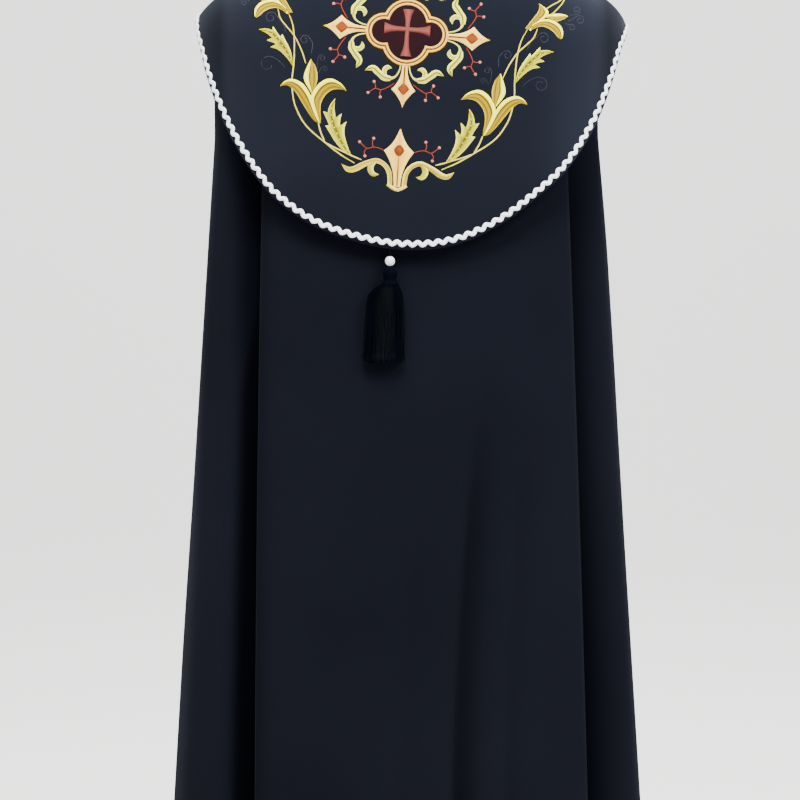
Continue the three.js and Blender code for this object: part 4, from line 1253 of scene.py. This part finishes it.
def arm(direction, ring, widest, tip):
    """One arm with its lozenge, dark line, curled leaves and sprigs."""
    a = np.radians(direction)
    ahead, aside = np.array([np.cos(a), np.sin(a)]), np.array([-np.sin(a), np.cos(a)])
    at = lambda s, w: MIDDLE + np.multiply.outer(s, ahead) + np.multiply.outer(w, aside)
    s, half = two_curves(ring, widest, tip, 2.8, 12.3)
    medallion.between(at(s, -half), at(s, half), ARM_FACE, 0.0012, -0.0001, rows=13)
    shade.between(at(s, -half - 1.8), at(s, half + 1.8), SHADE, **HALO)
    dark_line = at(np.array([ring + 1, widest - 4]), np.zeros(2))
    medallion.line(dark_line, 0.7, RING_LINE, puff=0.0005, base=0.0009, rows=5)
    rose, rose_half = lozenge(6.6, 1.15, 15)
    rose = widest - 1.0 + rose
    rose_tones = (ROSE, ROSE_PALE, ROSE_PALE, ROSE)
    medallion.between(at(rose, -rose_half), at(rose, rose_half), rose_tones, 0.0010, 0.0006, rows=9)
    for w in (-1, 1):
        path = lambda handles, start: [at(start + x, w * y) for x, y in handles]
        leaves.line(path(CURL_STEM, ring), [0.7, 0.8, 1.0, 2.0], (STEM, STEM_PALE, STEM), rows=7)
        leaves.line(path(CURL_HOOK, ring), [1.6, 2.4, 2.2, 0.0], LEAF_EDGED, base=0.0, rows=7)
        leaves.line(path(CURL_LEAF, ring), [2.2, 3.5, 3.0, 3.3, 2.4, 0.0], LEAF_EDGED, base=0.0002, rows=9)
        leaves.line(path(CURL_LEAF, ring), 0.42, OCHRE, base=0.0011, puff=0.0003, rows=5, taper=(0.5, 0.4))
        shade.line(path(CURL_LEAF, ring), [3.4, 4.4, 3.9, 4.3, 3.6, 1.0], SHADE, **HALO)
        for handles in SPRIG:
            twig(path(handles, widest))
        for *_, (x, y) in SPRIG:
            sprigs.knot(at(widest + x, w * y), 1.65, CORAL_TIP, puff=0.0009)


for row in ARMS:
    arm(*row)

# %% [markdown]
# ## Foot of the design
# At the foot a tall diamond stands in a small V. A gold band rises on each side of it, arches
# over and ends in a scrolled leaf with a hook.

# %% Foot
UPPER_EDGE = [(0, 98.4), (2.2, 104), (5.0, 110), (9.0, 116), (15.3, 121.8)]
LOWER_EDGE = [(15.3, 121.8), (11, 128.2), (7.6, 135.1), (5.2, 142), (3.9, 149), (3.3, 157)]
right_edge = np.concatenate([smooth_line(UPPER_EDGE, 20), smooth_line(LOWER_EDGE, 24)[1:]])
medallion.between(right_edge * (-1, 1), right_edge, ARM_FACE, 0.0014, -0.0001, rows=15)
shade.between(right_edge * (-1, 1) - (1.8, 0), right_edge + (1.8, 0), SHADE, **HALO)
medallion.line([(0, 127), (0, 156)], 0.7, (0.075, 0.065, 0.008), puff=0.0005, base=0.0010, rows=5)
rose, rose_half = lozenge(6.4, 1.4, 17)
rose_edge = np.stack([rose_half, 121 + rose], 1)
medallion.between(rose_edge * (-1, 1), rose_edge, (ROSE, (0.17, 0.035, 0.006), ROSE), 0.0010, 0.0007)
medallion.knot((0, 121), 3.0, ROSE_PALE, puff=0.0007, base=0.0013)
BAND = [(7.2, 156), (7.4, 150), (8.6, 143.5), (12, 137.8), (17, 134.0), (22.5, 132.6), (29, 134.6),
        (36, 138.2), (43, 142.4), (49.5, 143.6), (56.8, 138.4)]
HOOK = [(22.5, 132.8), (26.8, 137), (27.2, 142.6), (24, 146.4), (18.4, 146.2)]
FOOT_SPRIG = [[(15.3, 121.8), (20.5, 119.8), (26.1, 119.4), (32.3, 121), (40, 115.1)],
              [(26.1, 119.4), (27.2, 115), (26.2, 110.6)],
              [(32.3, 121), (34.6, 124.4), (33.8, 128.8)]]
for side in (-1, 1):
    hook_tones = (LEAF_PALE, LEAF, (0.40, 0.33, 0.02))
    leaves.line(mirrored(HOOK, side), [1.6, 3.0, 3.0, 2.4, 0.0], hook_tones, base=0.0, rows=7)
    band_tones = ((0.85, 0.75, 0.08), (0.55, 0.42, 0.03), (0.28, 0.18, 0.01), (0.62, 0.50, 0.05))
    band_half = [2.3, 2.3, 2.3, 2.3, 2.4, 2.4, 2.6, 3.0, 2.9, 2.3, 0.0]
    leaves.line(mirrored(BAND, side), band_half, band_tones, count=70, base=0.0001, rows=9)
    shade.line(mirrored(BAND, side), [3.6] * 10 + [0.8], SHADE, count=50, **HALO)
    for handles in FOOT_SPRIG:
        twig(mirrored(handles, side))
        sprigs.knot(mirrored(handles, side)[-1], 1.65, CORAL_TIP, puff=0.0009)
    medallion.line(mirrored([(9.6, 155.2), (5, 158.2), (0, 160.4)], side), 1.9, (ARM_WHITE, STEM_PALE, RING),
                   base=0.0003, rows=7)

# %% [markdown]
# ## Scrolls
# Thin grey scrolls fill the ground beside the leaves and the upper lilies. Each one goes a short
# way and then winds in on itself.

# %% Scrolls
CURLS = [  # places on the way, centre of the curl, which way round it goes
    ([(115.6, 53.2), (121.5, 44.5), (128.3, 38.9), (135.3, 36.8)], (136.8, 44.6), 1),
    ([(94.5, 34), (93.4, 21), (97.2, 14.9)], (101.7, 17.5), 1),
    ([(86.5, 50), (87.3, 40), (86.9, 34)], (83.1, 34.5), -1),
    ([(86, 52), (84, 46), (82, 43.4)], (79.4, 45), -1),
    ([(119, 15.7), (124, 4), (130.4, -3.6)], (136.8, -2.1), 1),
    ([(157.6, -27), (163, -27.4), (167.2, -28.6)], (167.6, -33), -1),
    ([(157, -24), (161, -21.6), (167.4, -25.7)], (171.9, -23.1), 1),
    ([(155, -20), (158, -18.6), (161.2, -17.6)], (164, -15), 1)]
for side in (-1, 1):
    for way, centre, round_way in CURLS:
        out = np.hypot(way[-1][0] - centre[0], way[-1][1] - centre[1])
        first = np.arctan2(way[-1][1] - centre[1], way[-1][0] - centre[0])
        share = np.linspace(0, 1, 18)
        turns = first + round_way * 3.3 * np.pi * share
        shrink = out * (1 - 0.85 * share ** 0.8)
        spiral = np.stack([centre[0] + shrink * np.cos(turns), centre[1] + shrink * np.sin(turns)], 1)
        whole_way = mirrored(way[:-1] + spiral.tolist(), side)
        scrolls.line(whole_way, 0.45, SCROLL, puff=0.0008, rows=5, taper=(0.5, 0.6))

# %% [markdown]
# ## Pieces of embroidery
# The shapes of one kind and colour group are joined in one piece each, so that a user of the part
# can hide or recolour them.

# %% Embroidery pieces
for stitches, name, finish in ((shade, "ground_stitches", dark_thread),
                               (dark_ground, "medallion_ground", dark_thread),
                               (scrolls, "grey_scrolls", thread),
                               (stems, "stems", thread),
                               (leaves, "leaves", thread),
                               (lilies, "lilies", thread),
                               (sprigs, "coral_sprigs", thread),
                               (medallion, "medallion", thread)):
    stitches.piece("embroidery_" + name, finish)
